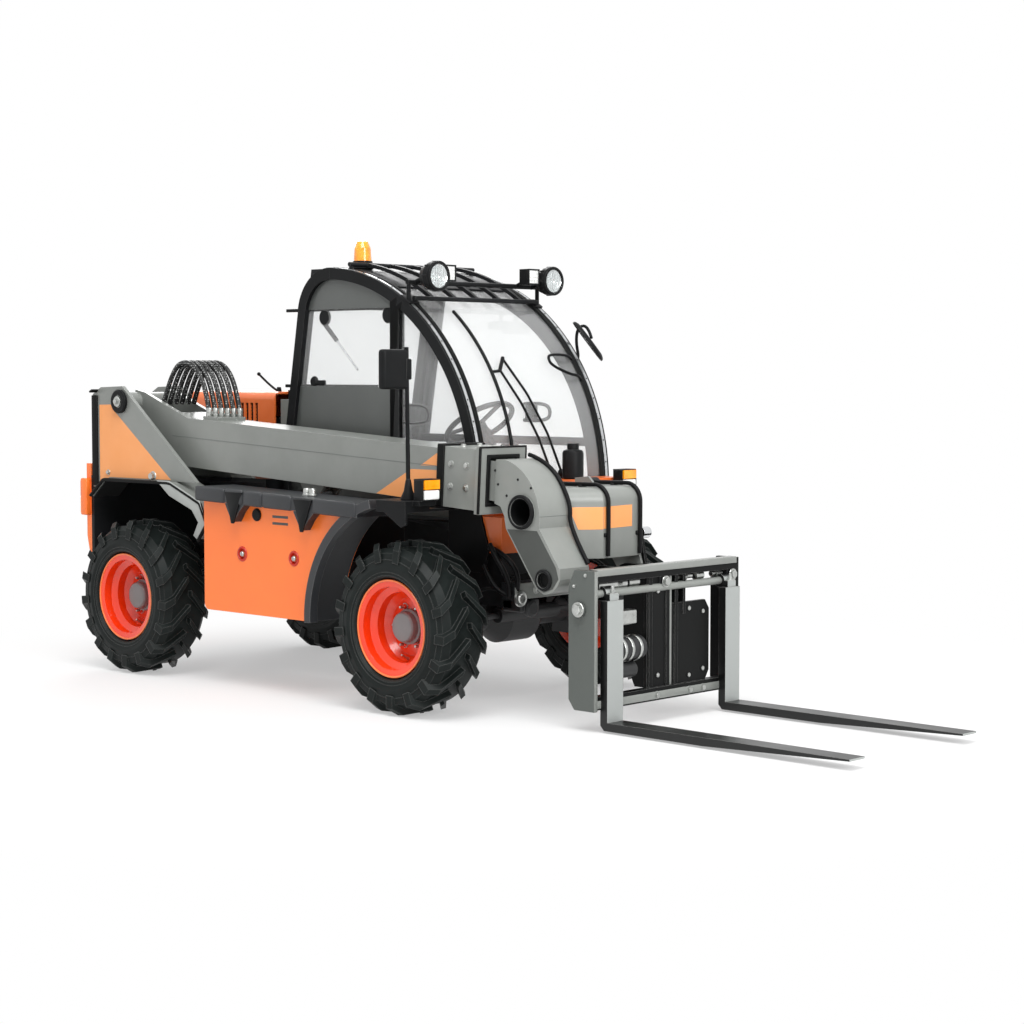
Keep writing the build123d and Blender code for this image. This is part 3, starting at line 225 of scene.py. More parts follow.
def laid(place, across, up):
    """A frame at a place with its X along one way and its Y near another."""
    x = Vector(across).normalized()
    z = x.cross(Vector(up)).normalized()
    y = z.cross(x)
    return Matrix.Translation(spot(place)) @ Matrix((x, y, z)).transposed().to_4x4()


def block(place, size, edge=3, segments=2):
    """A rounded block, square to the machine."""
    return rounded_block(size, edge, segments), Matrix.Translation(spot(place))


def disc(place, way, profile, steps=32, closed=False):
    """A turned form standing along a way."""
    return turned(profile, steps, closed), toward(place, way)


def film(outline, y, thickness=0.6, edge=0):
    """A flat form standing out to the right from the plane of one y, from (x, z) points."""
    x, z = outline[0]
    points = [(corner_x - x, corner_z - z) for corner_x, corner_z in outline]
    return slab(points, thickness, edge), laid((x, y, z), FORWARD, UP)


def bar(start, end, radius, steps=20):
    """A round bar with rounded ends."""
    start, end = spot(start), spot(end)
    length = (end - start).length * 1000
    edge = 1.5
    profile = [(0, 0), (radius - edge, 0), (radius, edge)]
    profile += [(radius, length - edge), (radius - edge, length), (0, length)]
    return disc(start, end - start, profile, steps)


def bolts(places, way, across, height):
    """A hexagon bolt at each place."""
    return [(hex_bolt(across, height), toward(place, way)) for place in places]


def linked(piece, body):
    """Links a piece to the scene, on its body."""
    bpy.context.scene.collection.objects.link(piece)
    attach(piece, body)
    return piece


def finished(bm, name, body, finish, sharp=35.0):
    """Makes a bmesh a piece that rides on a body, with its finish."""
    mesh = bpy.data.meshes.new(name)
    bm.to_mesh(mesh)
    bm.free()
    mesh.materials.append(finishes[finish])
    mesh.shade_smooth()
    mesh.set_sharp_from_angle(angle=radians(sharp))
    return linked(bpy.data.objects.new(name, mesh), body)


def fitted(name, body, finish, parts, sharp=35.0):
    """Makes one piece of several placed forms."""
    bm = bmesh.new()
    for form, matrix in parts:
        bmesh.ops.transform(form, matrix=matrix, verts=form.verts)
        mesh = bpy.data.meshes.new("part")
        form.to_mesh(mesh)
        form.free()
        bm.from_mesh(mesh)
        bpy.data.meshes.remove(mesh)
    return finished(bm, name, body, finish, sharp)


def tube(name, points, radius, body, finish):
    """A round bar or hose along a smooth route of places."""
    curve = bpy.data.curves.new(name, "CURVE")
    curve.dimensions = "3D"
    curve.bevel_depth = radius / 1000
    curve.bevel_resolution = 4
    curve.resolution_u = 10
    curve.use_fill_caps = True
    spline = curve.splines.new("NURBS")
    spline.points.add(len(points) - 1)
    for point, place in zip(spline.points, points):
        point.co = (*spot(place), 1.0)
    spline.order_u = min(3, len(points))
    spline.use_endpoint_u = True
    curve.materials.append(finishes[finish])
    return linked(bpy.data.objects.new(name, curve), body)


# ---------------------------------------------------------------- materials
def linear(hex_colour):
    """An sRGB hex colour as linear RGBA."""
    value = hex_colour.lstrip("#")
    parts = [int(value[i : i + 2], 16) / 255 for i in (0, 2, 4)]
    return tuple(c / 12.92 if c <= 0.04045 else ((c + 0.055) / 1.055) ** 2.4 for c in parts) + (1.0,)


def add_node(tree, kind, inputs=None, **settings):
    """Adds a node; inputs are values or sockets to link."""
    made = tree.nodes.new(kind)
    for name, value in settings.items():
        setattr(made, name, value)
    for name, value in (inputs or {}).items():
        if isinstance(value, bpy.types.NodeSocket):
            tree.links.new(value, made.inputs[name])
        else:
            made.inputs[name].default_value = value
    return made


def ramped(tree, value, limits, ends, **settings):
    """A value spread from its limits to new ends."""
    names = ("Value", "From Min", "From Max", "To Min", "To Max")
    inputs = dict(zip(names, (value, *limits, *ends)))
    return add_node(tree, "ShaderNodeMapRange", inputs, **settings).outputs["Result"]


def mixed(tree, factor, first, second):
    """Two colours mixed by a factor."""
    inputs = {"Factor": factor, "A": first, "B": second}
    return add_node(tree, "ShaderNodeMix", inputs, data_type="RGBA").outputs["Result"]


def noise(tree, place, size_mm, detail, roughness=0.5):
    """Noise whose features are about a size across."""
    inputs = {"Vector": place, "Scale": 1000 / size_mm, "Detail": detail, "Roughness": roughness}
    return add_node(tree, "ShaderNodeTexNoise", inputs).outputs["Fac"]


def new_material(name="finish"):
    """A material with an empty tree; make_materials names the finishes."""
    material = bpy.data.materials.new(name)
    material.use_nodes = True
    material.node_tree.nodes.clear()
    return material, material.node_tree


def coated(tone, shade, grain_mm, depth_mm, rough, cloud_mm=260, edge_mm=2.5, wear=0.12, zone=None, **shader):
    """A coated or moulded surface: two close tones in soft clouds, a fine grain, rounded edges lightened
    along them, partly as wear and partly as a painted highlight, and roughness that varies. A zone is
    (colour, mask builder)."""
    material, tree = new_material()
    place = add_node(tree, "ShaderNodeTexCoord").outputs["Object"]
    clouds = noise(tree, place, cloud_mm, 4.0, 0.6)
    tones = add_node(tree, "ShaderNodeValToRGB", {"Fac": clouds})
    for stop, position, colour in zip(tones.color_ramp.elements, (0.3, 0.7), (shade, tone)):
        stop.position = position
        stop.color = linear(colour)
    gloss = ramped(tree, clouds, (0.3, 0.7), rough)
    grain = noise(tree, place, grain_mm, 2.0)
    colour = tones.outputs["Color"]
    if zone is not None:
        colour = mixed(tree, zone[1](tree), colour, linear(zone[0]))
    # pale edges, partly wear and partly a painted highlight: the rounded normal leaves the flat one only
    # along edges
    rounded = add_node(tree, "ShaderNodeBevel", {"Radius": edge_mm / 1000}, samples=4).outputs["Normal"]
    flat = add_node(tree, "ShaderNodeNewGeometry").outputs["Normal"]
    along = add_node(tree, "ShaderNodeVectorMath", {0: rounded, 1: flat}, operation="DOT_PRODUCT")
    edge = ramped(tree, along.outputs["Value"], (0.98, 0.75), (0.0, wear))
    worn_and_lit = mixed(tree, edge, colour, (0.6, 0.6, 0.58, 1.0))
    relief = {"Height": grain, "Strength": 0.6, "Distance": depth_mm / 1000, "Normal": rounded}
    bump = add_node(tree, "ShaderNodeBump", relief).outputs["Normal"]
    look = {"Base Color": worn_and_lit, "Roughness": gloss, "Normal": bump, **shader}
    surface = add_node(tree, "ShaderNodeBsdfPrincipled", look)
    add_node(tree, "ShaderNodeOutputMaterial", {"Surface": surface.outputs["BSDF"]})
    return material


def clear(tone, roughness, ior, wave_mm=300, veil=0.0):
    """A see-through surface with a faint waviness, thin enough not to bend what lies behind.
    A veil is the share of a pale diffuse film over it: dust, and a painted reflection."""
    material, tree = new_material()
    place = add_node(tree, "ShaderNodeTexCoord").outputs["Object"]
    relief = {"Height": noise(tree, place, wave_mm, 1.0), "Strength": 0.05, "Distance": 0.002}
    bump = add_node(tree, "ShaderNodeBump", relief).outputs["Normal"]
    look = {"Base Color": linear(tone), "Roughness": roughness, "IOR": ior, "Transmission Weight": 1.0}
    surface = add_node(tree, "ShaderNodeBsdfPrincipled", {**look, "Normal": bump})
    if veil:
        dust_and_reflection = add_node(tree, "ShaderNodeBsdfDiffuse", {"Color": linear("#fafbfb")})
        layers = {0: veil, 1: surface.outputs["BSDF"], 2: dust_and_reflection.outputs["BSDF"]}
        surface = add_node(tree, "ShaderNodeMixShader", layers)
    add_node(tree, "ShaderNodeOutputMaterial", {"Surface": surface.outputs[0]})
    return material


def braided():
    """A hose's woven sleeve: black strands with pale dashes about 9 mm apart."""
    material, tree = new_material()
    place = add_node(tree, "ShaderNodeTexCoord").outputs["Object"]
    weave = {"Vector": place, "Scale": 1000 / 11, "Randomness": 0.35}
    cells = add_node(tree, "ShaderNodeTexVoronoi", weave).outputs["Distance"]
    dashes = ramped(tree, cells, (0.24, 0.32), (1.0, 0.0))
    colour = mixed(tree, dashes, linear("#121313"), linear("#a3a5a3"))
    relief = {"Height": dashes, "Strength": 0.5, "Distance": 0.0006}
    bump = add_node(tree, "ShaderNodeBump", relief).outputs["Normal"]
    look = {"Base Color": colour, "Roughness": 0.5, "Normal": bump}
    surface = add_node(tree, "ShaderNodeBsdfPrincipled", look)
    add_node(tree, "ShaderNodeOutputMaterial", {"Surface": surface.outputs["BSDF"]})
    return material


def facing_out(axis, edge, span=0.08):
    """A mask of the faces that look along an axis of the piece, from the object's own normals."""

    def build(tree):
        way = add_node(tree, "ShaderNodeTexCoord").outputs["Normal"]
        parts = add_node(tree, "ShaderNodeSeparateXYZ", {"Vector": way})
        return ramped(tree, parts.outputs[axis], (edge - span, edge + span), (0.0, 1.0))

    return build


def outer_sides(limit):
    """A mask of what lies further from the machine's middle plane than a limit in metres."""

    def build(tree):
        place = add_node(tree, "ShaderNodeTexCoord").outputs["Object"]
        parts = add_node(tree, "ShaderNodeSeparateXYZ", {"Vector": place})
        far = add_node(tree, "ShaderNodeMath", {0: parts.outputs["Y"]}, operation="ABSOLUTE")
        beyond = {0: far.outputs["Value"], 1: limit}
        return add_node(tree, "ShaderNodeMath", beyond, operation="GREATER_THAN").outputs["Value"]

    return build


def coat(weight, roughness):
    """A clear coat over a finish."""
    return {"Coat Weight": weight, "Coat Roughness": roughness}


def make_materials(paint):
    """Every finish of the machine, by its everyday name."""
    dull = {"Specular IOR Level": 0.12}
    metal = {"Metallic": 1.0}
    flat = {"wear": 0.0, "edge_mm": 0.2}
    sheen = {"Coat Weight": 0.8}
    iron_sides = ("#5c605d", outer_sides(0.478))
    painted_highlight_faces = ("#a4a8a6", facing_out("X", 0.8))
    painted_glow = {"Emission Color": linear("#ff8a00"), "Emission Strength": 0.12}
    milky = {"Subsurface Weight": 0.4, "Subsurface Radius": (0.02, 0.012, 0.004)}
    made = {
        # powder-coated steel: even, with a fine orange peel and a soft sheen; its edges are lightened
        # strongly as a painted highlight
        "powder_coat_grey": coated(
            paint.grey, "#7c7f7b", 2.2, 0.05, (0.34, 0.42), wear=0.35, **coat(0.25, 0.2)
        ),
        # the same coat on the cab's panels, a darker grey
        "powder_coat_iron": coated(paint.iron, "#484b49", 2.2, 0.05, (0.36, 0.44), **coat(0.25, 0.2)),
        # powder-coated steel in charcoal
        "powder_coat_charcoal": coated(paint.charcoal, "#1b1c1d", 2.2, 0.05, (0.36, 0.46), **dull),
        # black coat, with the outer plates in iron grey
        "powder_coat_carriage": coated(
            "#111212", "#0c0d0d", 2.2, 0.05, (0.34, 0.44), wear=0.35, zone=iron_sides, **dull
        ),
        # moulded polyethylene, through-dyed orange: slight sheen, faint ripple
        "dyed_polyethylene_orange": coated(
            paint.orange, "#fa7628", 3.0, 0.06, (0.34, 0.42), wear=0.05, **coat(0.3, 0.2)
        ),
        # the hood's redder orange enamel on sheet steel
        "hood_enamel": coated(paint.hood, "#ef7030", 2.2, 0.05, (0.3, 0.38), wear=0.05, **coat(0.4, 0.15)),
        # baked enamel on wheel discs: clean and glossy
        "wheel_enamel": coated(paint.wheel, "#e03006", 2.0, 0.03, (0.2, 0.26), wear=0.04, **coat(0.5, 0.1)),
        # grained ABS mouldings, with a painted highlight along their rounded edges
        "grained_abs": coated(paint.trim, "#232528", 1.6, 0.12, (0.38, 0.48), edge_mm=6.0, wear=0.2),
        # black textured plastic
        "black_abs": coated("#18191a", "#101112", 1.6, 0.1, (0.36, 0.46), **dull),
        # extruded rubber seals
        "rubber_seal": coated("#121313", "#0d0e0e", 1.2, 0.05, (0.5, 0.6), **dull),
        # vulcanised rubber with a dry bloom
        "vulcanised_rubber": coated(
            "#1c2120", "#121615", 5.0, 0.2, (0.34, 0.46), cloud_mm=120, edge_mm=6.0, wear=0.14, **dull
        ),
        # synthetic hose cover
        "hose_cover": coated("#161617", "#0f0f10", 2.0, 0.08, (0.36, 0.46), edge_mm=0.5, wear=0.0, **dull),
        # painted cast iron: pebbled by the sand mould
        "cast_iron": coated("#2b2c2d", "#1a1b1c", 4.0, 0.3, (0.42, 0.56), edge_mm=4.0),
        # hard chrome on ground steel
        "hard_chrome": coated("#d8dadc", "#cfd1d3", 1.0, 0.01, (0.1, 0.16), wear=0.0, **metal),
        # zinc-plated fasteners
        "zinc_plate": coated(
            "#c9cbc8", "#a9aba8", 1.5, 0.03, (0.26, 0.36), cloud_mm=30, edge_mm=0.8, **metal
        ),
        # forged steel, lacquered black, with painted highlight: pale on the faces that look forward and along
        # the edges
        "forged_steel": coated(
            "#151616", "#0f1010", 3.0, 0.12, (0.28, 0.38), wear=0.5, zone=painted_highlight_faces, Metallic=0.2
        ),
        # vinyl seat cover with a leather grain
        "vinyl_cover": coated("#303135", "#222327", 2.5, 0.35, (0.42, 0.54), wear=0.0),
        # printed vinyl films; the dark one also lays painted shade on the neck
        "orange_film": coated(paint.film, "#f09d58", 1.5, 0.01, (0.3, 0.36), **flat),
        "shadow_film": coated("#444744", "#3c3f3c", 1.5, 0.01, (0.3, 0.36), **flat),
        "grey_film": coated("#6d716e", "#666a67", 1.5, 0.01, (0.3, 0.36), **flat),
        # brushed aluminium trim
        "brushed_aluminium": coated(
            "#d5d7d8", "#bfc1c3", 1.0, 0.02, (0.24, 0.34), cloud_mm=40, edge_mm=0.6, **metal
        ),
        # pale grey on the rear mudguard's front corner facets: painted highlight
        "mudguard_highlight_paint": coated("#a9adaa", "#9fa3a0", 2.0, 0.04, (0.3, 0.38)),
        # cast polymer cap in mid grey
        "hub_cap_grey": coated("#7d7a7b", "#72706f", 1.6, 0.06, (0.34, 0.44)),
        # latch cups in red nylon
        "red_nylon": coated("#d42a0c", "#bb2208", 1.4, 0.05, (0.34, 0.44)),
        # silvered reflector
        "silvered_reflector": coated("#e8eaea", "#dfe1e1", 1.0, 0.0, (0.06, 0.1), wear=0.0, **metal),
        # white acrylic behind a lens
        "white_acrylic": coated("#f2f3f1", "#e6e8e6", 1.5, 0.02, (0.2, 0.3), wear=0.0),
        # laminated safety glass
        "safety_glass": clear("#fdfefe", 0.0, 1.2, veil=0.12),
        # clear polycarbonate lens
        "clear_lens": clear("#fbfdfd", 0.02, 1.45, wave_mm=18),
        # dyed polycarbonate lenses
        # painted glow: the amber lens emits a little light of its own, with no lamp behind it
        "amber_lens": coated(
            "#ffb01e", "#ff9208", 9.0, 0.4, (0.12, 0.18), cloud_mm=60, wear=0.0, **milky, **painted_glow, **sheen
        ),
        "red_lens": coated("#c4150f", "#a80f0b", 6.0, 0.3, (0.12, 0.2), wear=0.0, **sheen),
        # woven spiral guard over hoses: black weave with a pale tracer
        "braided_sleeve": braided(),
    }
    for name, material in made.items():
        material.name = name
    return made


# the nodes of the solid model that each finish covers
FINISH_NODES = {
    "vulcanised_rubber": ["tyre_" + corner for corner in CORNERS],
    "wheel_enamel": ["rim_" + corner for corner in CORNERS],
    "cast_iron": ("front_axle", "rear_axle", "knuckle_left", "knuckle_right", "engine_block"),
    "powder_coat_charcoal": ("chassis_frame", "roof_guard", "lift_barrel", "tilt_barrel"),
    "powder_coat_grey": ("boom_tower", "rear_mudguards", "air_box", "boom_outer", "boom_inner", "boom_head"),
    "powder_coat_iron": ("cab_panels",),
    "powder_coat_carriage": ("carriage",),
    "dyed_polyethylene_orange": ("counterweight", "side_box"),
    "hood_enamel": ("front_cowl", "engine_hood"),
    "grained_abs": ("side_trim", "step_box"),
    "black_abs": (
        "front_mudguards",
        "cab_frame",
        "door_frame",
        "seat_frame",
        "steering_column",
        "lamp_housings",
        "mirrors",
        "wipers",
    ),
    "safety_glass": ("windscreen", "cab_glass", "door_glass"),
    "vinyl_cover": ("seat_cushions",),
    "amber_lens": ("amber_lenses",),
    "braided_sleeve": ("boom_hoses",),
    "hose_cover": ("head_hoses",),
    "hard_chrome": ("lift_rod", "tilt_rod"),
    "forged_steel": ("forks",),
}


# ---------------------------------------------------------------- settings
class TelehandlerPaint(bpy.types.PropertyGroup):
    grey: StringProperty(name="Grey", description="Boom and tower paint, as sRGB hex", default="#868985")
    iron: StringProperty(name="Iron grey", description="Cab panel paint, as sRGB hex", default="#505351")
    charcoal: StringProperty(name="Charcoal", description="Frame paint, as sRGB hex", default="#222325")
    orange: StringProperty(name="Orange", description="Body panels, as sRGB hex", default="#ff7d2c")
    hood: StringProperty(name="Hood", description="Hood and cowl, as sRGB hex", default="#f67c3c")
    film: StringProperty(name="Film", description="Printed stripes, as sRGB hex", default="#f4a466")
    wheel: StringProperty(name="Wheel", description="Wheel discs, as sRGB hex", default="#f23c0c")
    trim: StringProperty(name="Trim", description="Grained mouldings, as sRGB hex", default="#2a2c2f")
    corner_radius: FloatProperty(
        name="Corner radius", description="Rounding of the cab's rear top corner", default=0.23, unit="LENGTH"
    )


class TelehandlerStudio(bpy.types.PropertyGroup):
    floor_size: FloatProperty(
        name="Floor size", description="Edge of the square floor", default=60.0, unit="LENGTH"
    )
    floor_tone: StringProperty(name="Floor", description="Floor colour, as sRGB hex", default="#e6e6e6")
    key_power: FloatProperty(
        name="Key light", description="Power of the large lamp overhead, in watts", default=600.0
    )
    fill_power: FloatProperty(
        name="Fill light", description="Power of the lamp at the viewer's side, in watts", default=300.0
    )
    world_strength: FloatProperty(name="World", description="Strength of the room's even light", default=0.62)
    lens: FloatProperty(name="Lens", description="Camera's focal length", default=74.94, unit="CAMERA")
    camera_place: FloatVectorProperty(
        name="Camera", description="Camera's place", default=(6.8668, -7.0013, 1.4879), unit="LENGTH"
    )
    camera_turn: FloatProperty(
        name="Turn",
        description="View's direction, from the machine's left toward its rear",
        default=radians(43.75),
        unit="ROTATION",
    )
    camera_drop: FloatProperty(
        name="Drop", description="View's angle below level", default=radians(3.413), unit="ROTATION"
    )
    camera_shift: FloatProperty(
        name="Shift", description="Upward shift of the picture, as a share of its side", default=-0.0125
    )


# ---------------------------------------------------------------- operators
class TELEHANDLER_OT_finishes(bpy.types.Operator):
    """Give every node its finish"""

    bl_idname = "telehandler.finishes"
    bl_label = "Finishes"

    def execute(self, context):
        finishes.update(make_materials(context.scene.telehandler_paint))
        for finish, nodes in FINISH_NODES.items():
            for name in nodes:
                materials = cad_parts[name].data.materials
                materials.clear()
                materials.append(finishes[finish])
        return {"FINISHED"}


class TELEHANDLER_OT_hoses(bpy.types.Operator):
    """The hose loop over the boom's pivot, and the hoses on the head"""

    bl_idname = "telehandler.hoses"
    bl_label = "Hoses"

    def execute(self, context):
        for i in range(6):
            u, y = hose_foot(i)
            foot = boom_at(u, -37.7, y)
            x = (foot.x - FRONT_X) * 1000
            route = [foot, boom_at(u, 2, y), at(x - 60, y, 1480), at(x - 170, y, 1548), at(x - 290, y, 1505)]
            route.append(at(x - 365, y, 1330))
            hose = tube("boom_hose_%d" % (i + 1), route, 12.5, "boom", "braided_sleeve")
            if i == 0:
                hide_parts("boom_hoses")
            self.declare(hose, foot, 0.025)
        # over the box's corner on an arc of about four diameters, a little off the box
        out, top, bend = TILT_X + 62, 1004, 78
        reach, step = bend / cos(radians(15)), bend * sin(radians(15)) / cos(radians(15))
        for name, y in zip(("head_hose_mid", "head_hose_left"), BOX_HOSES):
            route = [at(TILT_X - 200, y, 1001.8), at(out - bend - step, y, top)]
            for turn in (15, 45, 75):
                over, up = reach * sin(radians(turn)), reach * cos(radians(turn))
                route.append(at(out - bend + over, y, top - bend + up))
            route += [at(out, y, top - bend - step), at(out, y, 820), at(out - 2.2, y, 700)]
            hose = tube(name, route, 9.5, "inner_boom", "hose_cover")
            self.declare(hose, route[0], 0.019)
        neck = [(-250, 1132), (-120.4, 1100.8), (-4.5, 930.8), (-18.3, 832.9), (92, 680)]
        route = [at(TILT_X + x, -295, z) for x, z in neck]
        hose = tube("head_hose_neck", route, 9.5, "inner_boom", "hose_cover")
        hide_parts("head_hoses")
        self.declare(hose, route[0], 0.019)
        return {"FINISHED"}

    @staticmethod
    def declare(hose, start, diameter):
        """Builds a mesh from the hose's bare line, then removes it again; nothing is kept."""
        bare = hose.data.copy()
        bare.bevel_depth = 0.0
        holder = bpy.data.objects.new("line", bare)
        bpy.context.scene.collection.objects.link(holder)
        mesh = bpy.data.meshes.new_from_object(holder.evaluated_get(bpy.context.evaluated_depsgraph_get()))
        bpy.data.objects.remove(holder)
        bpy.data.meshes.remove(mesh)


class TELEHANDLER_OT_wheels(bpy.types.Operator):
    """Tyre ribs, hub caps, studs, valves and rim lips of the four wheels"""

    bl_idname = "telehandler.wheels"
    bl_label = "Wheels"

    def execute(self, context):
        for corner in CORNERS:
            hub = middle("tyre_" + corner)
            out = 1 if hub.y > 0 else -1
            way = (0, out, 0)
            body = "wheel_" + corner
            ribs = []
            for side in (-1, 1):
                for radius, reach in ((232, 126.5), (246, 128.5), (300, 127)):
                    ring = [(radius - 4, reach - 3), (radius - 1.5, reach + 2.2)]
                    ring += [(radius + 1.5, reach + 2.2), (radius + 4, reach - 3)]
                    ribs.append(disc(hub, (0, side, 0), ring, 72, closed=True))
            fitted("tyre_ribs_" + corner, body, "vulcanised_rubber", ribs)
            cap = [(0, 53), (50, 53), (60, 50), (66, 42), (68, 16), (78, 12), (78, -6), (0, -6)]
            fitted("hub_cap_" + corner, body, "hub_cap_grey", [disc(hub, way, cap, 56)], 30)
            studs = []
            for i in range(6):
                turn = radians(60 * i)
                place = hub + Vector((95 * cos(turn), out * -18, 95 * sin(turn))) / 1000
                studs.append(disc(place, way, button(7, 34, 0, 2, 3), 12))
                studs.append(disc(place, way, [(0, 5), (17, 4), (18.5, 0)], 20))
            stem = [(0, 45), (3.5, 45), (5, 38), (5, 12), (8, 0), (0, 0)]
            studs.append(disc(hub + Vector((0, out * 12, -140)) / 1000, (0, out, 0.5), stem, 12))
            fitted("wheel_studs_" + corner, body, "zinc_plate", studs)
            # painted highlight: each rim's outer lip in a lighter orange, where the flange catches the light
            lip = [(205, 114), (206, 118), (208.5, 119.5), (212, 119), (214.2, 116.5), (214.2, 114)]
            fitted("rim_lip_highlight_" + corner, body, "hood_enamel", [disc(hub, way, lip, 72, closed=True)])
        return {"FINISHED"}


class TELEHANDLER_OT_boom_fittings(bpy.types.Operator):
    """Seams, films, collar bolts, pivot nuts and hose couplings of the boom and tower"""

    bl_idname = "telehandler.boom_fittings"
    bl_label = "Boom fittings"

    def execute(self, context):
        # pressed bend line along both sides of the boom
        seam = []
        for y, up in ((BOOM_RIGHT, UP), (BOOM_LEFT, (0, 0, -1))):
            start, end = boom_at(300, -150, y), boom_at(2225, -136, y)
            strip = rounded_block(((end - start).length * 1000, 4, 1.6), 0.6, 1)
            seam.append((strip, laid((start + end) / 2, end - start, up)))
        fitted("boom_bend_line", "boom", "grey_film", seam)
        # printed stripes at the boom's front end in two fields, and one field on the tower's plate
        low_stripe = [(-352, 943), (-125, 1060), (104, 1060), (122, 912)]
        high_stripe = [(-64, 1078), (36, 1133), (84, 1131), (92, 1076)]
        stripes = [film(outline, BOOM_RIGHT) for outline in (low_stripe, high_stripe)]
        fitted("boom_stripes", "boom", "orange_film", stripes)
        field = [(-2322, 1322), (-2226, 1324), (-2184, 1284), (-1732, 958), (-2243, 956), (-2322, 903)]
        fitted("tower_stripe", "chassis", "orange_film", [film(field, TOWER_SIDE)])
        # black edging on the tower's rear edge, pin keeper, and the pivot's nut and boss
        keeper = rounded_block((100, 26, 10)), toward((-2345, -590, 1392), (-0.45, 0, 1))
        edging = block((-2357, -595, 1140), (45, 30, 460), 4)
        fitted("tower_edging", "chassis", "rubber_seal", [edging, keeper])
        nuts = [disc((BOOM_PIVOT_X, -622, BOOM_PIVOT_Z), RIGHT, button(27, 6, -20))]
        nuts += bolts([(BOOM_PIVOT_X, -626, BOOM_PIVOT_Z)], RIGHT, 24, 12)
        nuts += bolts([(-1877, TOWER_SIDE, 972)], RIGHT, 32, 18)
        nuts += bolts([(-2250, TOWER_SIDE, 980)], RIGHT, 18, 10)
        fitted("tower_pin_nuts", "chassis", "zinc_plate", nuts)
        ring = [(33, 0), (56, 0), (60, 4), (60, 16), (54, 21), (33, 21)]
        boss = disc((BOOM_PIVOT_X, -601, BOOM_PIVOT_Z), RIGHT, ring, 40, closed=True)
        fitted("tower_pin_boss", "chassis", "black_abs", [boss])
        # collar bolts, on its sides and top
        screws = []
        for u in (2290, 2385):
            for y, way in ((-512, RIGHT), (-268, LEFT)):
                screws += bolts([boom_at(u, w, y) for w in (-118, -215)], way, 20, 9)
            screws += bolts([boom_at(u, -43, y) for y in (-440, -340)], BOOM_UP, 20, 9)
        fitted("collar_bolts", "boom", "zinc_plate", screws)
        # black bars round the boom's section: the wiper strip behind the collar, the flange's rim and pads
        for name, u, edge, upright, height, sides, crossbar, levels in (
            ("collar_strip", 2228, 4, (42, 272, 22), -174, (-509, -271), (42, 258, 20), (-45,)),
            ("flange_rim", 2482, 2, (12, 286, 8), -175, (-250, -530), (12, 284, 8), (-31,)),
            ("flange_pads", 2484, 2, (10, 200, 18), -175, (-480, -300), (10, 200, 16), (-72, -278)),
        ):
            bars = []
            for y in sides:
                bars.append((rounded_block(upright, edge), laid(boom_at(u, height, y), BOOM_WAY, BOOM_UP)))
            for w in levels:
                bars.append((rounded_block(crossbar, edge), laid(boom_at(u, w, BOOM_MIDDLE), BOOM_WAY, LEFT)))
            fitted(name, "boom", "rubber_seal", bars)
        # couplings at the hoses' feet
        foot = [(0, 0), (14.5, 0), (15.5, 4), (15.5, 16), (12, 18), (14.5, 20), (14.5, 36), (13, 42)]
        places = [boom_at(u, -38, y) for u, y in map(hose_foot, range(6))]
        fitted("hose_couplings", "boom", "zinc_plate", [disc(place, BOOM_UP, foot, 20) for place in places])
        return {"FINISHED"}


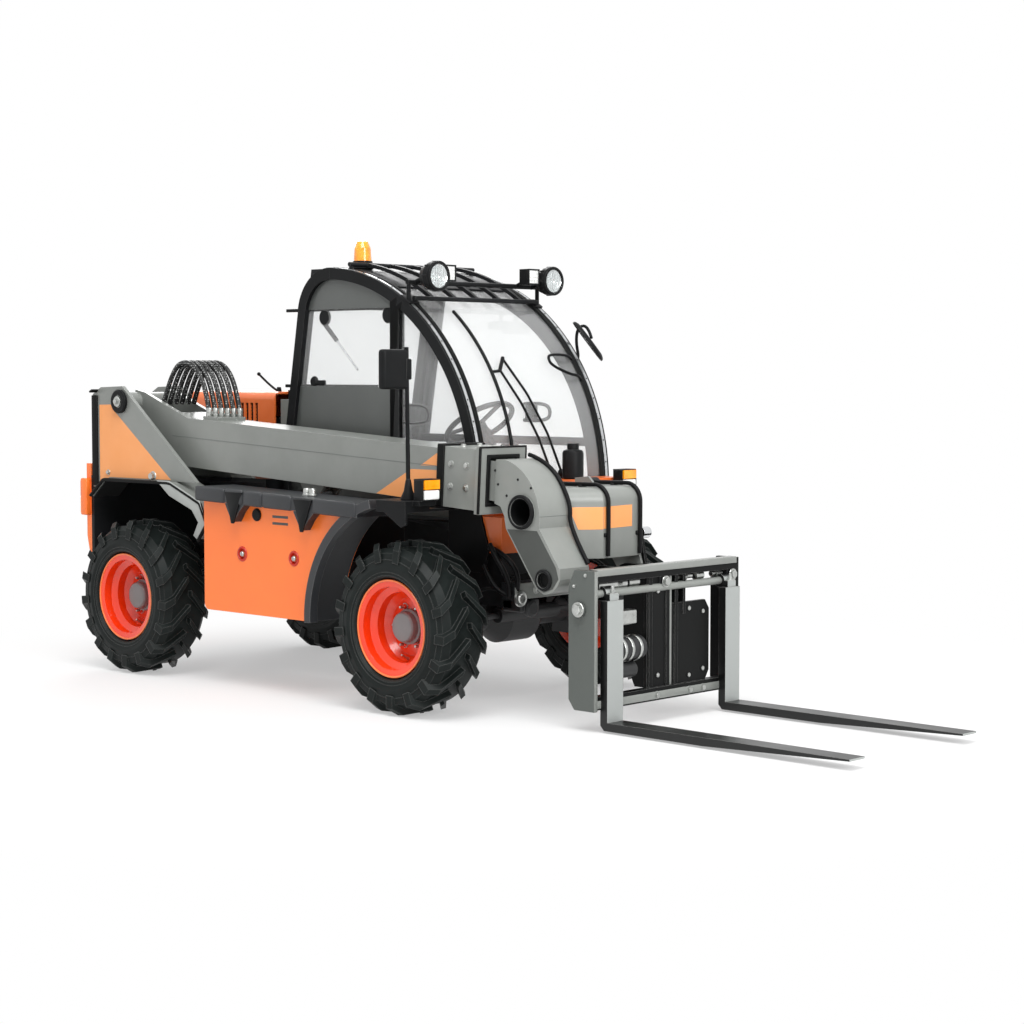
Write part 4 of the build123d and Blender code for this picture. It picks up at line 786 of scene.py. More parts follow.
class TELEHANDLER_OT_head_fittings(bpy.types.Operator):
    """Films, rings, small bolts and brackets of the boom's head"""

    bl_idname = "telehandler.head_fittings"
    bl_label = "Head fittings"

    def execute(self, context):
        panel = slab([(0, 1.43), (186, 4), (186, 98), (0, 95.75)], 0.6)
        fitted("panel_stripe", "inner_boom", "orange_film", [(panel, laid((700, -148, 816), LEFT, UP))])
        # the box's slanted corner runs back and to the right from (700, -150) to (605, -285)
        slant = (at(700, -150, 0) - at(605, -285, 0)).normalized()
        corner = slab([(42, 0), (152, 0), (152, 96), (0, 96), (17, 55)], 0.6)
        place = at(700, -150, 815) - slant * 0.152
        fitted("corner_stripe", "inner_boom", "orange_film", [(corner, laid(place, slant, UP))], 20)
        # painted shade: a dark film over the lower half of the neck's near side, in three fields round the
        # lower bore
        turns = [radians(20 * i) for i in range(9, -1, -1)]
        arc = [(46 * sin(turn), TILT_Z + 46 * cos(turn)) for turn in turns]
        fields = (
            [(436, 820), (610, 820), (718, 672), (650, 672), (544, 672)],
            [(650, 672), (544, 672), (608, 584), (650, 563)] + [(TILT_X - out, z) for out, z in arc],
            [(650, 672), (718, 672), (733, 624), (700, 580), (650, 563)]
            + [(TILT_X + out, z) for out, z in arc],
        )
        fitted("neck_painted_shade", "inner_boom", "shadow_film", [film(field, NECK_SIDE) for field in fields])
        holes = ((365, 1068), (382, 1009), (433, 962), (499, 1033), (575, 1000))
        plug = [(0, 4), (4, 3.5), (6, 0)]
        plugs = [disc((x, NECK_SIDE, z), RIGHT, plug, 14) for x, z in holes]
        fitted("head_plugs", "inner_boom", "black_abs", plugs)
        rings = []
        for x, z, inner, outer, lift in ((524, 896, 59.5, 72, 14), (TILT_X, TILT_Z, 33.5, 44, 8)):
            profile = [(inner, lift - 10), (inner, lift + 0.5), (inner + 2, lift + 3), (outer - 3, lift + 3)]
            profile += [(outer + 1.5, lift - 1), (outer + 1.5, lift - 10)]
            rings.append(disc((x, NECK_SIDE, z), RIGHT, profile, 48, closed=True))
        fitted("head_rings", "inner_boom", "black_abs", rings)
        # painted shade: black liners inside the bores, so that they look deep
        deep = [(0, -280), (58.2, -280), (58.2, 12.5), (56.2, 12.5), (56.2, -278), (0, -278)]
        shallow = [(0, -12), (32.2, -12), (32.2, 6.5), (30.5, 6.5), (30.5, -10), (0, -10)]
        shade_liners = [disc((524, NECK_SIDE, 896), RIGHT, deep, 48)]
        shade_liners.append(disc((TILT_X, NECK_SIDE, TILT_Z), RIGHT, shallow, 40))
        fitted("bore_shade_liners", "inner_boom", "rubber_seal", shade_liners)
        fitted("head_seam", "inner_boom", "grey_film", [block((623.5, -380, 880), (2, 180, 3), 0.6, 1)])
        pins = [disc((TILT_X, 135, TILT_Z), LEFT, button(33, 6)), disc((360, 188, 985), LEFT, button(25, 6))]
        fitted("head_pin_ends", "inner_boom", "zinc_plate", pins)
        # clamps that hold the hoses on the box
        clamps = []
        for y in BOX_HOSES:
            for place, along in (((560, y, 993), FORWARD), ((701, y, 790), UP)):
                clamps.append((rounded_block((18, 36, 16)), laid(place, along, LEFT)))
        fitted("head_clamps", "inner_boom", "black_abs", clamps)
        return {"FINISHED"}


class TELEHANDLER_OT_carriage_fittings(bpy.types.Operator):
    """Pins, couplings, caps and bolts of the fork carriage"""

    bl_idname = "telehandler.carriage_fittings"
    bl_label = "Carriage fittings"

    def execute(self, context):
        body = "fork_carriage"
        pins = []
        for out in (-1, 1):
            way = (0, out, 0)
            head = [(0, 4), (26, 4), (31, 0), (31, -12), (20, -14), (0, -14)]
            pins.append(disc((CARRIAGE_PIN_X, out * 497, CARRIAGE_PIN_Z), way, head))
            nut = toward((CARRIAGE_PIN_X, out * 499, CARRIAGE_PIN_Z), way, 0.3)
            pins.append((hex_bolt(40, 14), nut))
            pins += bolts([(893, out * 481, 652), (830, out * 481, 604)], way, 10, 5)
        # front nuts on the top beam
        pins += bolts([(CARRIAGE_FRONT, y, 598) for y in (-20, 440)], FORWARD, 32, 12)
        fitted("carriage_pins", body, "zinc_plate", pins)
        couplings = []
        for x, z, start, end, radius in (
            (903, 606, -430, -250, 23),
            (905, 608, -236, -170, 20),
            (905, 608, 60, 190, 13),
            (905, 606, 215, 265, 19),
            (905, 606, 330, 400, 13),
        ):
            couplings.append(bar((x, start, z), (x, end, z), radius))
        nut = [(17, -14), (24, -14), (24, 14), (17, 14)]
        for y, z in ((-300, 608), (130, 608), (365, 606)):
            couplings.append(disc((905, y, z), LEFT, nut, 6, closed=True))
        fitted("carriage_couplings", body, "zinc_plate", couplings)
        # brackets that carry the couplings from the top beam
        brackets = [block((898, y, 625), (12, 30, 70), 2) for y in (-400, -200, 110, 380)]
        brackets += [block((925, y, 596), (16, 60, 50)) for y in (440, -20)]
        fitted("carriage_brackets", body, "powder_coat_charcoal", brackets)
        # pale grey plates on the top beam's cap, the crossbars' fronts and the near side's edge, as painted
        # highlight where light falls; also the middle rod and the round bar
        faces = [
            block(place, size, 1)
            for place, size in (
                ((923.5, 0, 674), (40, 924, 4)),
                ((CARRIAGE_FRONT + 2, 0, 661), (4, 924, 26)),
                ((CARRIAGE_FRONT + 2, 0, 118), (4, 924, 32)),
                ((CARRIAGE_FRONT + 1.5, -471, 380), (3, 18, 582)),
                ((930, 22, 385), (6, 12, 470)),
            )
        ]
        faces.append(bar((925, -460, 575), (925, 460, 575), 16.8, 32))
        fitted("carriage_rods_and_highlights", body, "powder_coat_grey", faces)
        backrest = ((150, 180), (150, 470), (245, 200), (245, 450), (-60, 200), (-60, 560))
        low = bolts([(CARRIAGE_FRONT, y, 118) for y in (-80, 140, 230)], FORWARD, 22, 10)
        low += bolts([(925, y, z) for y, z in backrest], FORWARD, 18, 8)
        fitted("carriage_bolts", body, "zinc_plate", low)
        # hydraulic coupler: a dark motor with bright bands, on a strap between the beams
        motor = [
            bar((MOTOR_X, -318, MOTOR_Z), (MOTOR_X, -160, MOTOR_Z), 52, 40),
            bar((MOTOR_X, -330, MOTOR_Z - 90), (MOTOR_X, -200, MOTOR_Z - 90), 34, 32),
            block((878, MOTOR_Y, 390), (12, 60, 520)),
        ]
        motor += [block((895, MOTOR_Y, z), (40, 60, 12)) for z in (140, 640)]
        fitted("coupler_motor", body, "cast_iron", motor)
        band = [(50, -8), (55, -8), (57, -5), (57, 5), (55, 8), (50, 8)]
        bands = [disc((MOTOR_X, y, MOTOR_Z), LEFT, band, 40, closed=True) for y in (-296, -250, -196)]
        bands.append(block((900, MOTOR_Y, 462), (60, 130, 62), 8, 3))
        fitted("coupler_bands", body, "zinc_plate", bands)
        # locks on the shanks' hooks
        locks = []
        for y in (-392, 392):
            locks += [block((963, y, 560), (20, 50, 40), 4), bar((963, y, 575), (963, y, 606), 8)]
        fitted("fork_locks", body, "zinc_plate", locks)
        return {"FINISHED"}


class TELEHANDLER_OT_lamps(bpy.types.Operator):
    """Reflectors, lenses, bezels and frames of the lamps and signals, and the beacon's foot"""

    bl_idname = "telehandler.lamps"
    bl_label = "Lamps"

    def execute(self, context):
        self.round_lamps((-110, 670))
        self.square_lamps((-5, 565))
        # front signals: a white lens below the amber one, under a hood
        white, hood = [], []
        for y in (-650, 650):
            white.append(block((158, y, 962), (16, 86, 40), 5, 3))
            hood.append(block((130, y, 1027.5), (60, 100, 6), 2))
            hood += [block((132, y + out, 985), (56, 4, 80), 1) for out in (-50, 50)]
        fitted("front_signal_lenses", "chassis", "white_acrylic", white)
        fitted("front_signal_hoods", "chassis", "black_abs", hood)
        # rear clusters in pods on the weight's ends
        for name, finish, x, z, size, edge in (
            ("rear_cluster_cases", "dyed_polyethylene_orange", -2430, 850, (50, 34, 190), 8),
            ("rear_cluster_red", "red_lens", -2456, 892, (10, 26, 84), 4),
            ("rear_cluster_amber", "amber_lens", -2456, 806, (10, 26, 84), 4),
        ):
            fitted(name, "chassis", finish, [block((x, y, z), size, edge, 3) for y in (-614, 614)])
        # beacon's foot and collar
        foot = [(0, 0), (52, 0), (54, 4), (50, 24), (47.5, 38), (44.5, 40), (0, 40)]
        fitted("beacon_foot", "chassis", "black_abs", [disc((-1010, 20, 1987), UP, foot, 48)])
        return {"FINISHED"}

    @staticmethod
    def round_lamps(sides):
        """Reflector, ribbed lens and bezel of each round lamp."""
        bowl = [(0, 31), (12, 31), (14, 34), (30, 33.5), (50, 38), (57.5, 43.5)]
        dome = [(0, 50), (30, 49), (50, 46), (57.8, 42.5), (57.8, 39.5), (50, 43), (30, 46), (0, 47)]
        rim = [(56, 40), (56, 48), (60, 50.5), (68, 49), (70.5, 44), (70.5, 34), (66, 34)]
        bowls, lenses, bezels = [], [], []
        for y in sides:
            place = at(LAMP_X, y, LAMP_Z)
            bowls.append(disc(place, FORWARD, bowl, 48))
            lenses.append(disc(place, FORWARD, dome, 48))
            bezels.append(disc(place, FORWARD, rim, 48, closed=True))
            for i in range(8):
                spoke = toward(place, FORWARD, radians(45 * i)) @ Matrix.Translation((0.0688, 0, 0.014))
                bezels.append((rounded_block((4, 8, 30), 1, 1), spoke))
            # ribs moulded in the lens
            for i in range(-3, 4):
                half = (48**2 - (i * 13) ** 2) ** 0.5
                rib = (LAMP_X + 45.5 - abs(i) * 0.6, y + i * 13, LAMP_Z)
                lenses.append(block(rib, (2.5, 1.8, 2 * half), 0.6, 1))
        fitted("round_lamp_reflectors", "chassis", "silvered_reflector", bowls)
        fitted("round_lamp_lenses", "chassis", "clear_lens", lenses)
        fitted("round_lamp_bezels", "chassis", "black_abs", bezels)

    @staticmethod
    def square_lamps(sides):
        """Ribbed lens, frame and cooling fins of each square lamp."""
        z = LAMP_Z + 18
        panes, frames = [], []
        for y in sides:
            panes.append(block((LAMP_X + 7, y, z), (6, 64, 64), 2))
            for i in range(-1, 2):
                panes.append(block((LAMP_X + 11, y + i * 16, z), (3, 2.5, 60), 0.8, 1))
                panes.append(block((LAMP_X + 11, y, z + i * 16), (3, 60, 2.5), 0.8, 1))
            for side in (-35.5, 35.5):
                frames.append(block((LAMP_X + 6, y + side, z), (16, 6, 77), 1.5))
                frames.append(block((LAMP_X + 6, y, z + side), (16, 77, 6), 1.5))
            frames += [block((LAMP_X - 20 - i * 10, y, z), (6, 70, 70), 1, 1) for i in range(4)]
        fitted("square_lamp_lenses", "chassis", "white_acrylic", panes)
        fitted("square_lamp_frames", "chassis", "black_abs", frames)


class TELEHANDLER_OT_cab_fittings(bpy.types.Operator):
    """Hoop trims, seals, handles, latches, strut, mirrors and wiper parts of the cab"""

    bl_idname = "telehandler.cab_fittings"
    bl_label = "Cab fittings"

    def execute(self, context):
        self.hoop_trims()
        self.window()
        self.handles()
        self.right_mirror()
        self.left_mirror()
        # wiper pivots
        hub = [(0, 30), (14, 30), (18, 24), (20, 0), (0, 0)]
        hubs = [disc(hoop_at(3.5, 8, y), (1, 0, 0.1), hub, 24) for y in (308, 378)]
        fitted("wiper_hubs", "chassis", "black_abs", hubs)
        return {"FINISHED"}

    @staticmethod
    def hoop_trims():
        """Bright strips and seals let into the hoops' outer face, and their rivets."""
        first_angle, half_width, strip_shift = 2, 8, 10
        for kind, shift, out, finish in (
            ("strip", strip_shift, 2.5, "brushed_aluminium"),
            ("seal", -20, 4.0, "rubber_seal"),
        ):
            for side, y, away in HOOPS:
                low, high = y + away * shift - half_width, y + away * shift + half_width
                ring = ((0, low), (out, low), (out, high), (0, high))
                section = [hoop_at(first_angle, lift, edge_y) for lift, edge_y in ring]
                band = swept(section, at(HOOP_X, 0, HOOP_Z), radians(88), 44)
                finished(band, "hoop_%s_%s" % (kind, side), "chassis", finish)
        rivet = [(0, 2.2), (2.8, 1.8), (4.2, 0)]
        rivets = []
        for side, y, away in HOOPS:
            for angle in (6 + i * 5.8 for i in range(15)):
                place = hoop_at(angle, 2.5, y + away * strip_shift)
                rivets.append(disc(place, hoop_way(angle), rivet, 10))
        fitted("hoop_rivets", "chassis", "black_abs", rivets)

    @staticmethod
    def window():
        """Seals, gas strut and latches of the boom-side window."""
        seals = [
            block((x, CAB_SIDE, z), (long, 10, high))
            for x, z, long, high in (
                (-1010, 1420, 800, 16),
                (-1010, 1790, 780, 16),
                (-624, 1605, 14, 370),
                (-310, 1002, 500, 14),
            )
        ]
        fitted("window_seals", "chassis", "rubber_seal", seals)
        y = CAB_SIDE + 11
        low, end, high = (-890, y, 1499), (-1040, y, 1640), (-1128, y, 1722)
        tube("window_strut", [high, end], 11, "chassis", "black_abs")
        tube("window_strut_rod", [end, low], 5, "chassis", "hard_chrome")
        hinges = ((-1110, 1752), (-660, 1756))
        latches = [disc((x, CAB_SIDE + 2, z), RIGHT, button(40, 12, 0, 6), 28) for x, z in hinges]
        latches.append(block((-1150, CAB_SIDE - 5, 1436), (90, 16, 26), 6, 3))
        latches.append(disc((-1186, CAB_SIDE - 1, 1442), RIGHT, button(26, 16, 0, 6, 8), 24))
        fitted("window_latches", "chassis", "black_abs", latches)

    @staticmethod
    def handles():
        """A D handle on each front pillar, a loop by the left hoop, and the hoops' sleeves."""
        loop = [(-565, 1250), (-520, 1247), (-440, 1250), (-398, 1262), (-388, 1288), (-398, 1318)]
        loop += [(-440, 1332), (-520, 1333), (-565, 1330)]
        pillars = (CAB_SIDE + 5, 690)
        for name, y in zip(("pillar_handle_right", "pillar_handle_left"), pillars):
            tube(name, [(x, y, z) for x, z in loop], 9, "chassis", "black_abs")
        plates = [block((-515, y, 1290), (70, 8, 95), 12, 3) for y in pillars]
        fitted("pillar_handle_plates", "chassis", "black_abs", plates)
        grab = [(35.5, -5, 674), (35.7, 22, 645), (35.9, 24, 500), (34.6, 24, 474)]
        grab += [(32.4, 24, 478), (29.8, 24, 580), (29.4, 22, 645), (29.2, -5, 674)]
        tube("hoop_grab", [hoop_at(*place) for place in grab], 7, "chassis", "black_abs")
        # sleeves where the hoops are joined
        joint = 57
        places = [laid(hoop_at(joint, 4, y), hoop_way(joint), LEFT) for side, y, away in HOOPS]
        sleeves = [(rounded_block((12, 68, 70)), place) for place in places]
        fitted("hoop_sleeves", "chassis", "black_abs", sleeves)

    @staticmethod
    def right_mirror():
        """Rounded housing with its glass, and the pole in a rubber cone."""
        shell = [block((1, -722, 1500), (44, 150, 172), 14, 4), block((13, -652, 1500), (30, 30, 90), 6, 3)]
        housing = fitted("right_mirror_housing", "chassis", "black_abs", shell)
        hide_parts("mirrors")
        glass = block((-22, -722, 1500), (3, 134, 156), 1)
        fitted("right_mirror_glass", "chassis", "silvered_reflector", [glass])
        cone = [(0, 0), (34, 0), (35, 6), (20, 40), (12, 85), (9.8, 90), (0, 90)]
        pole = [bar((20, -655, 960), (11, -655, 1596), 9.5, 24), disc((20, -655, 935), UP, cone, 36)]
        fitted("right_mirror_pole", "chassis", "black_abs", pole)

    @staticmethod
    def left_mirror():
        """Oval mirror on its bent arm."""
        foot = hoop_at(36, -27.5, 730)
        steps = [(0, 0, 0), (0, 30, 0), (-28, 34, 100), (-10, 34, 168), (60, 26, 168), (100, 6, 108)]
        arm = [foot + Vector(step) / 1000 for step in steps]
        tube("left_mirror_arm", arm, 7.5, "chassis", "black_abs")
        way, across = Vector((-0.578, -0.553, -0.6)), Vector((0.433, 0.415, -0.8))
        place = foot + Vector((98, -3, 100)) / 1000
        oval = laid(place, across, way.cross(across)) @ Matrix.Diagonal((1.57, 1, 1, 1))
        shell = [(0, -4), (60, -3), (70, 3), (74.5, 10), (74.5, 17), (71, 19), (68, 16), (0, 15)]
        pane = [(0, 16.5), (67, 16.5), (67, 15.5), (0, 15.5)]
        fitted("left_mirror_housing", "chassis", "black_abs", [(turned(shell, 56), oval)])
        fitted("left_mirror_glass", "chassis", "silvered_reflector", [(turned(pane, 56), oval)])


class TELEHANDLER_OT_cab_corner(bpy.types.Operator):
    """Round the cab's rear top corner, on the hoops, the panels and the door alike"""

    bl_idname = "telehandler.cab_corner"
    bl_label = "Cab corner"

    def execute(self, context):
        radius = context.scene.telehandler_paint.corner_radius
        corner, hoop_centre, hoop_reach = at(-1240, 0, 1976), at(HOOP_X, 0, HOOP_Z), HOOP_REACH / 1000
        lean = radians(9.5)
        rear_way = Vector((-cos(lean), 0, sin(lean)))
        # the rounding's centre lies one radius inside both the hoop and the rear post
        inset = (hoop_centre - corner).dot(rear_way)
        start_turn = asin((-radius - inset) / (hoop_reach - radius)) - lean
        start = Vector((-sin(start_turn), 0, cos(start_turn)))
        centre = hoop_centre + start * (hoop_reach - radius)
        sweep = start.angle(rear_way)
        turns = [Matrix.Rotation(-sweep * i / 12, 4, "Y") @ start for i in range(13)]
        for name, body, finish in (
            ("cab_frame", "chassis", "black_abs"),
            ("cab_panels", "chassis", "powder_coat_iron"),
            ("door_frame", "door", "black_abs"),
            ("cab_glass", "chassis", "safety_glass"),
            ("door_glass", "door", "safety_glass"),
        ):
            bm = bmesh.new()
            bm.from_mesh(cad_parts[name].data)
            bmesh.ops.remove_doubles(bm, verts=bm.verts, dist=1e-5)
            for way in turns:
                parts = bm.verts[:] + bm.edges[:] + bm.faces[:]
                cut = {"plane_co": centre + way * radius, "plane_no": way, "clear_outer": True}
                bmesh.ops.bisect_plane(bm, geom=parts, dist=1e-6, **cut)
                open_edges = [edge for edge in bm.edges if edge.is_boundary]
                if open_edges:
                    bmesh.ops.holes_fill(bm, edges=open_edges)
            piece = finished(bm, name + "_rounded", body, finish)
            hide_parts(name)
        # the hoops' own depth carried round the bend
        inner, outer, half_width = radius - 0.055, radius + 0.001, 0.031
        for side, y, away in HOOPS:
            low, high = y / 1000 - half_width, y / 1000 + half_width
            ring = ((inner, low), (outer, low), (outer, high), (inner, high))
            section = [Vector((centre.x, edge_y, centre.z)) + start * reach for reach, edge_y in ring]
            finished(swept(section, centre, sweep, 16), "hoop_bend_" + side, "chassis", "black_abs")
        return {"FINISHED"}


class TELEHANDLER_OT_interior(bpy.types.Operator):
    """Padded seat, console, levers and pedals in the cab"""

    bl_idname = "telehandler.interior"
    bl_label = "Interior"

    def execute(self, context):
        low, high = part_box("seat_cushions")
        low = low + Vector((0.070, 0, 0))
        high = Vector((high.x, high.y, low.z + 0.108))
        seat = self.cushion("seat_base", (low + high) / 2 - Vector((0, 0, 0.002)), high - low, 0.0, 0.7)
        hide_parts("seat_cushions")
        self.cushion("seat_back", at(-1188, 280, 1190), Vector((0.086, 0.420, 0.400)), radians(-10.8), 0.65)
        # the console carries a display panel
        display = toward((-330, 280, 1068), (-0.75, 0, 0.66)) @ Matrix.Rotation(radians(90), 4, "Y")
        console = [
            (rounded_block((30, 210, 110), 10, 3), display),
            block((-1000, 20, 1000), (60, 60, 240), 15, 3),
            block((-960, 18, 820), (420, 110, 280), 20, 3),
        ]
        fitted("console", "chassis", "black_abs", console)
        knob = [(0, 50), (12, 47), (20, 34), (20, 18), (10, 0), (0, 0)]
        levers = [
            bar((-900, 20, 950), (-880, 20, 1110), 7),
            disc((-880, 20, 1100), (0.1, 0, 1), knob, 24),
            bar((-330, 150, 960), (-345, 120, 1100), 5),
        ]
        fitted("levers", "chassis", "black_abs", levers)
        pedals = []
        for y in (190, 370):
            tread = toward((-300, y, 880), (-0.5, 0, 1)) @ Matrix.Rotation(radians(70), 4, "Y")
            pedals.append((rounded_block((12, 70, 110), 4), tread))
        fitted("pedals", "chassis", "rubber_seal", pedals)
        return {"FINISHED"}

    @staticmethod
    def cushion(name, place, size, lean, fill):
        """A crowned pad whose sides pull in between its corners, with sewn grooves on its face."""
        bm = bmesh.new()
        bmesh.ops.create_cube(bm, size=1.0)
        bmesh.ops.subdivide_edges(bm, edges=bm.edges[:], cuts=11, use_grid_fill=True)
        for vert in bm.verts:
            x, y, z = vert.co * 2
            groove = abs(abs(y) - 0.55) < 0.05
            if size.z < size.x:
                crown = (1 - abs(x) ** 3) * (1 - abs(y) ** 3)
                pull = 1 - 0.05 * (1 - y * y) * (abs(x) > 0.98) - 0.05 * (1 - x * x) * (abs(y) > 0.98)
                if z > 0:
                    z = z * (0.72 + 0.28 * crown) - 0.10 * groove * (z > 0.9)
                vert.co = Vector((x * pull, y * pull, z)) / 2
            else:
                crown = (1 - abs(z) ** 3) * (1 - abs(y) ** 3)
                pull = 1 - 0.05 * (1 - y * y) * (abs(z) > 0.98)
                x = x * (0.62 + 0.38 * crown) - 0.12 * groove * (x > 0.9)
                vert.co = Vector((x, y * pull, z * pull)) / 2
        axes = {"use_axis_x": True, "use_axis_y": True, "use_axis_z": True}
        bmesh.ops.smooth_vert(bm, verts=bm.verts, factor=0.5, **axes)
        matrix = Matrix.Translation(place) @ Matrix.Rotation(lean, 4, "Y") @ Matrix.Diagonal((*size, 1.0))
        bmesh.ops.transform(bm, matrix=matrix, verts=bm.verts)
        piece = finished(bm, name, "chassis", "vinyl_cover", 60)
        rounding = piece.modifiers.new("rounding", "SUBSURF")
        rounding.levels = 1
        rounding.render_levels = 1
        return piece


class TELEHANDLER_OT_body_fittings(bpy.types.Operator):
    """Trim covers, latches, a painted-shade sheet, grille, pipes, steps and rear fittings"""

    bl_idname = "telehandler.body_fittings"
    bl_label = "Body fittings"

    def execute(self, context):
        self.side_box()
        self.mudguards()
        self.hood_and_deck()
        self.front_beam()
        self.pipes()
        self.rear_and_door()
        return {"FINISHED"}

    @staticmethod
    def side_box():
        """Trim covers and darts, turn latches, printed bars, and connectors under the boom."""
        covers = []
        for start, end in ((-1352, -1135), (-1127, -1000), (-992, -862), (-854, -655), (-505, -222)):
            x = (start + end) / 2
            tilted = Matrix.Translation(at(x, -738, rail_z(x) + 31)) @ Matrix.Rotation(radians(1.77), 4, "Y")
            covers.append((rounded_block((end - start, 30, 70), 13, 4), tilted))
        fitted("trim_covers", "chassis", "grained_abs", covers)
        outline = [(-62, 55), (64, 55), (26, -34), (2, -92), (-16, -92), (-30, -34)]
        darts = [(slab(outline, 10, 3), laid((x, -744, rail_z(x)), FORWARD, UP)) for x in (-1062, -572)]
        darts.append(disc((-950, -703, 828), RIGHT, button(30, 8, -10, 6), 28))
        fitted("trim_darts", "chassis", "black_abs", darts)
        cup = [(0, -12.5), (21, -11.5), (24.5, 1), (27, 5), (33, 4), (36, 0), (34, -2)]
        cup += [(25.5, -2), (25.5, -13.5), (0, -13.5)]
        rings, knobs = [], []
        for x in (-1060, -690):
            rings.append(disc((x, BOX_SIDE, 640), RIGHT, cup, 36))
            knobs.append(disc((x, BOX_SIDE - 1, 640), RIGHT, button(12.5, 6, -10, 3.5, 4), 24))
            knobs.append(block((x, BOX_SIDE - 8, 640), (4, 4, 18), 1))
        fitted("latch_rings", "chassis", "red_nylon", rings)
        # two bare printed bars beside the front dart
        marks = [block((-785, BOX_SIDE - 0.2, z), (110, 0.6, 12), 0.2, 1) for z in (794, 825)]
        fitted("box_marks", "chassis", "shadow_film", marks)
        fitted("latch_knobs", "chassis", "zinc_plate", knobs)
        plug = [(0, 34), (14, 34), (17, 28), (17, 10), (21, 6), (21, 0), (0, 0)]
        plugs = [disc((x, -640, 926), UP, plug, 24) for x in (-668, -628)]
        fitted("quick_couplers", "chassis", "zinc_plate", plugs)

    @staticmethod
    def mudguards():
        """Black sheet under the right rear mudguard as painted shade in its arch, both lips, and the pale
        corner as painted highlight.
        """
        inner = [(-2338, 852), (-2232, 935), (-1692, 935), (-1466, 850), (-1418, 768), (-1482, 690)]
        # painted shade: a black sheet under the right rear mudguard, where its arch lies in shade
        shade_sheet = bmesh.new()
        outline = [shade_sheet.verts.new(at(x, -628, z)) for x, z in inner]
        edges = [shade_sheet.edges.new(pair) for pair in zip(outline, outline[1:])]
        grown = bmesh.ops.extrude_edge_only(shade_sheet, edges=edges)
        moved = [item for item in grown["geom"] if isinstance(item, bmesh.types.BMVert)]
        bmesh.ops.translate(shade_sheet, vec=(0, 0.152, 0), verts=moved)
        bmesh.ops.solidify(shade_sheet, geom=shade_sheet.faces[:], thickness=0.004)
        finished(shade_sheet, "right_arch_shade_sheet", "chassis", "rubber_seal", 30)
        right = [(-2350, 865), (-2240, 951), (-1690, 951), (-1455, 862), (-1402, 765), (-1470, 682)]
        left = [(-2350, 865), (-2240, 951), (-1800, 951), (-1545, 768), (-1500, 620)]
        for name, y, line in (("right_arch_lip", -GUARD_SIDE, right), ("left_arch_lip", GUARD_SIDE, left)):
            # points near each corner keep the lip straight between corners
            route = []
            for (x, z), (next_x, next_z) in zip(line, line[1:]):
                route += [
                    (x + (next_x - x) * share, y, z - 6 + (next_z - z) * share) for share in (0, 0.12, 0.88)
                ]
            route.append((line[-1][0], y, line[-1][1] - 6))
            tube(name, route, 9, "chassis", "rubber_seal")
        # painted highlight: a pale film on the facets of the mudguard's front corner
        corner = [(-1790, 956), (-1690, 956), (-1452, 868), (-1398, 765), (-1466, 678)]
        corner += [(-1500, 700), (-1462, 765), (-1512, 822), (-1690, 884)]
        fitted("mudguard_corner", "chassis", "mudguard_highlight_paint", [film(corner, -GUARD_SIDE, 6, 1.5)])

    @staticmethod
    def hood_and_deck():
        """Grille behind the hood's slots, caps and tank on the deck, and the marker rod."""
        grille = [block((-1902, 14.5, 1255), (262, 3, 166), 1)]
        grille += [block((-1902, 10, 1187 + i * 17), (250, 4, 4), 1, 1) for i in range(9)]
        fitted("hood_grille", "hood", "black_abs", grille)
        caps = [disc((-1560, 100, DECK_Z), UP, button(26, 18, 0, 6, 8), 28)]
        caps.append(disc((-1560, 260, DECK_Z), UP, button(38, 28, 0, 4, 6), 32))
        fitted("filler_caps", "chassis", "black_abs", caps)
        tip, base = at(-1901, 100, 1478), at(-1740, 100, 1396)
        tube("marker_rod", [(-1740, 100, 1389), (-1790, 100, 1403), tip], 6, "hood", "black_abs")
        knob = bmesh.new()
        bmesh.ops.create_icosphere(knob, subdivisions=2, radius=0.010, matrix=Matrix.Translation(tip))
        cone = {"cap_ends": True, "segments": 20, "radius1": 0.016, "radius2": 0.010, "depth": 0.03}
        bmesh.ops.create_cone(knob, matrix=Matrix.Translation(base), **cone)
        finished(knob, "marker_rod_knob", "hood", "black_abs")
        tank = [(0, 150), (20, 150), (24, 140), (44, 134), (50, 122), (50, 6), (44, 0), (0, 0)]
        parts = [disc((52, 372, 990), UP, tank, 36), disc((52, 372, 1128), UP, button(28, 28, 0, 2, 4), 24)]
        fitted("washer_tank", "chassis", "black_abs", parts)

    @staticmethod
    def front_beam():
        """Pale face, round plug, bolts and the valve below."""
        face = block((BEAM_FRONT - 3, 0, 531), (6, 622, 70), 2)
        fitted("front_beam_face", "chassis", "powder_coat_grey", [face])
        plug = [(0, 18), (18, 18), (22, 12), (34, 10), (36, 0), (0, 0)]
        plugs = [disc((BEAM_FRONT, -284, 500), FORWARD, plug)]
        plugs += bolts([(BEAM_FRONT, y, 531) for y in (-180, 0, 180)], FORWARD, 22, 10)
        fitted("front_beam_plugs", "chassis", "zinc_plate", plugs)
        cap = [(0, 30), (26, 30), (32, 24), (38, 20), (38, 0), (0, 0)]
        valve = [disc((300, -190, 448), FORWARD, cap), block((250, -190, 462), (120, 120, 60), 12, 3)]
        fitted("front_valve", "chassis", "cast_iron", valve)

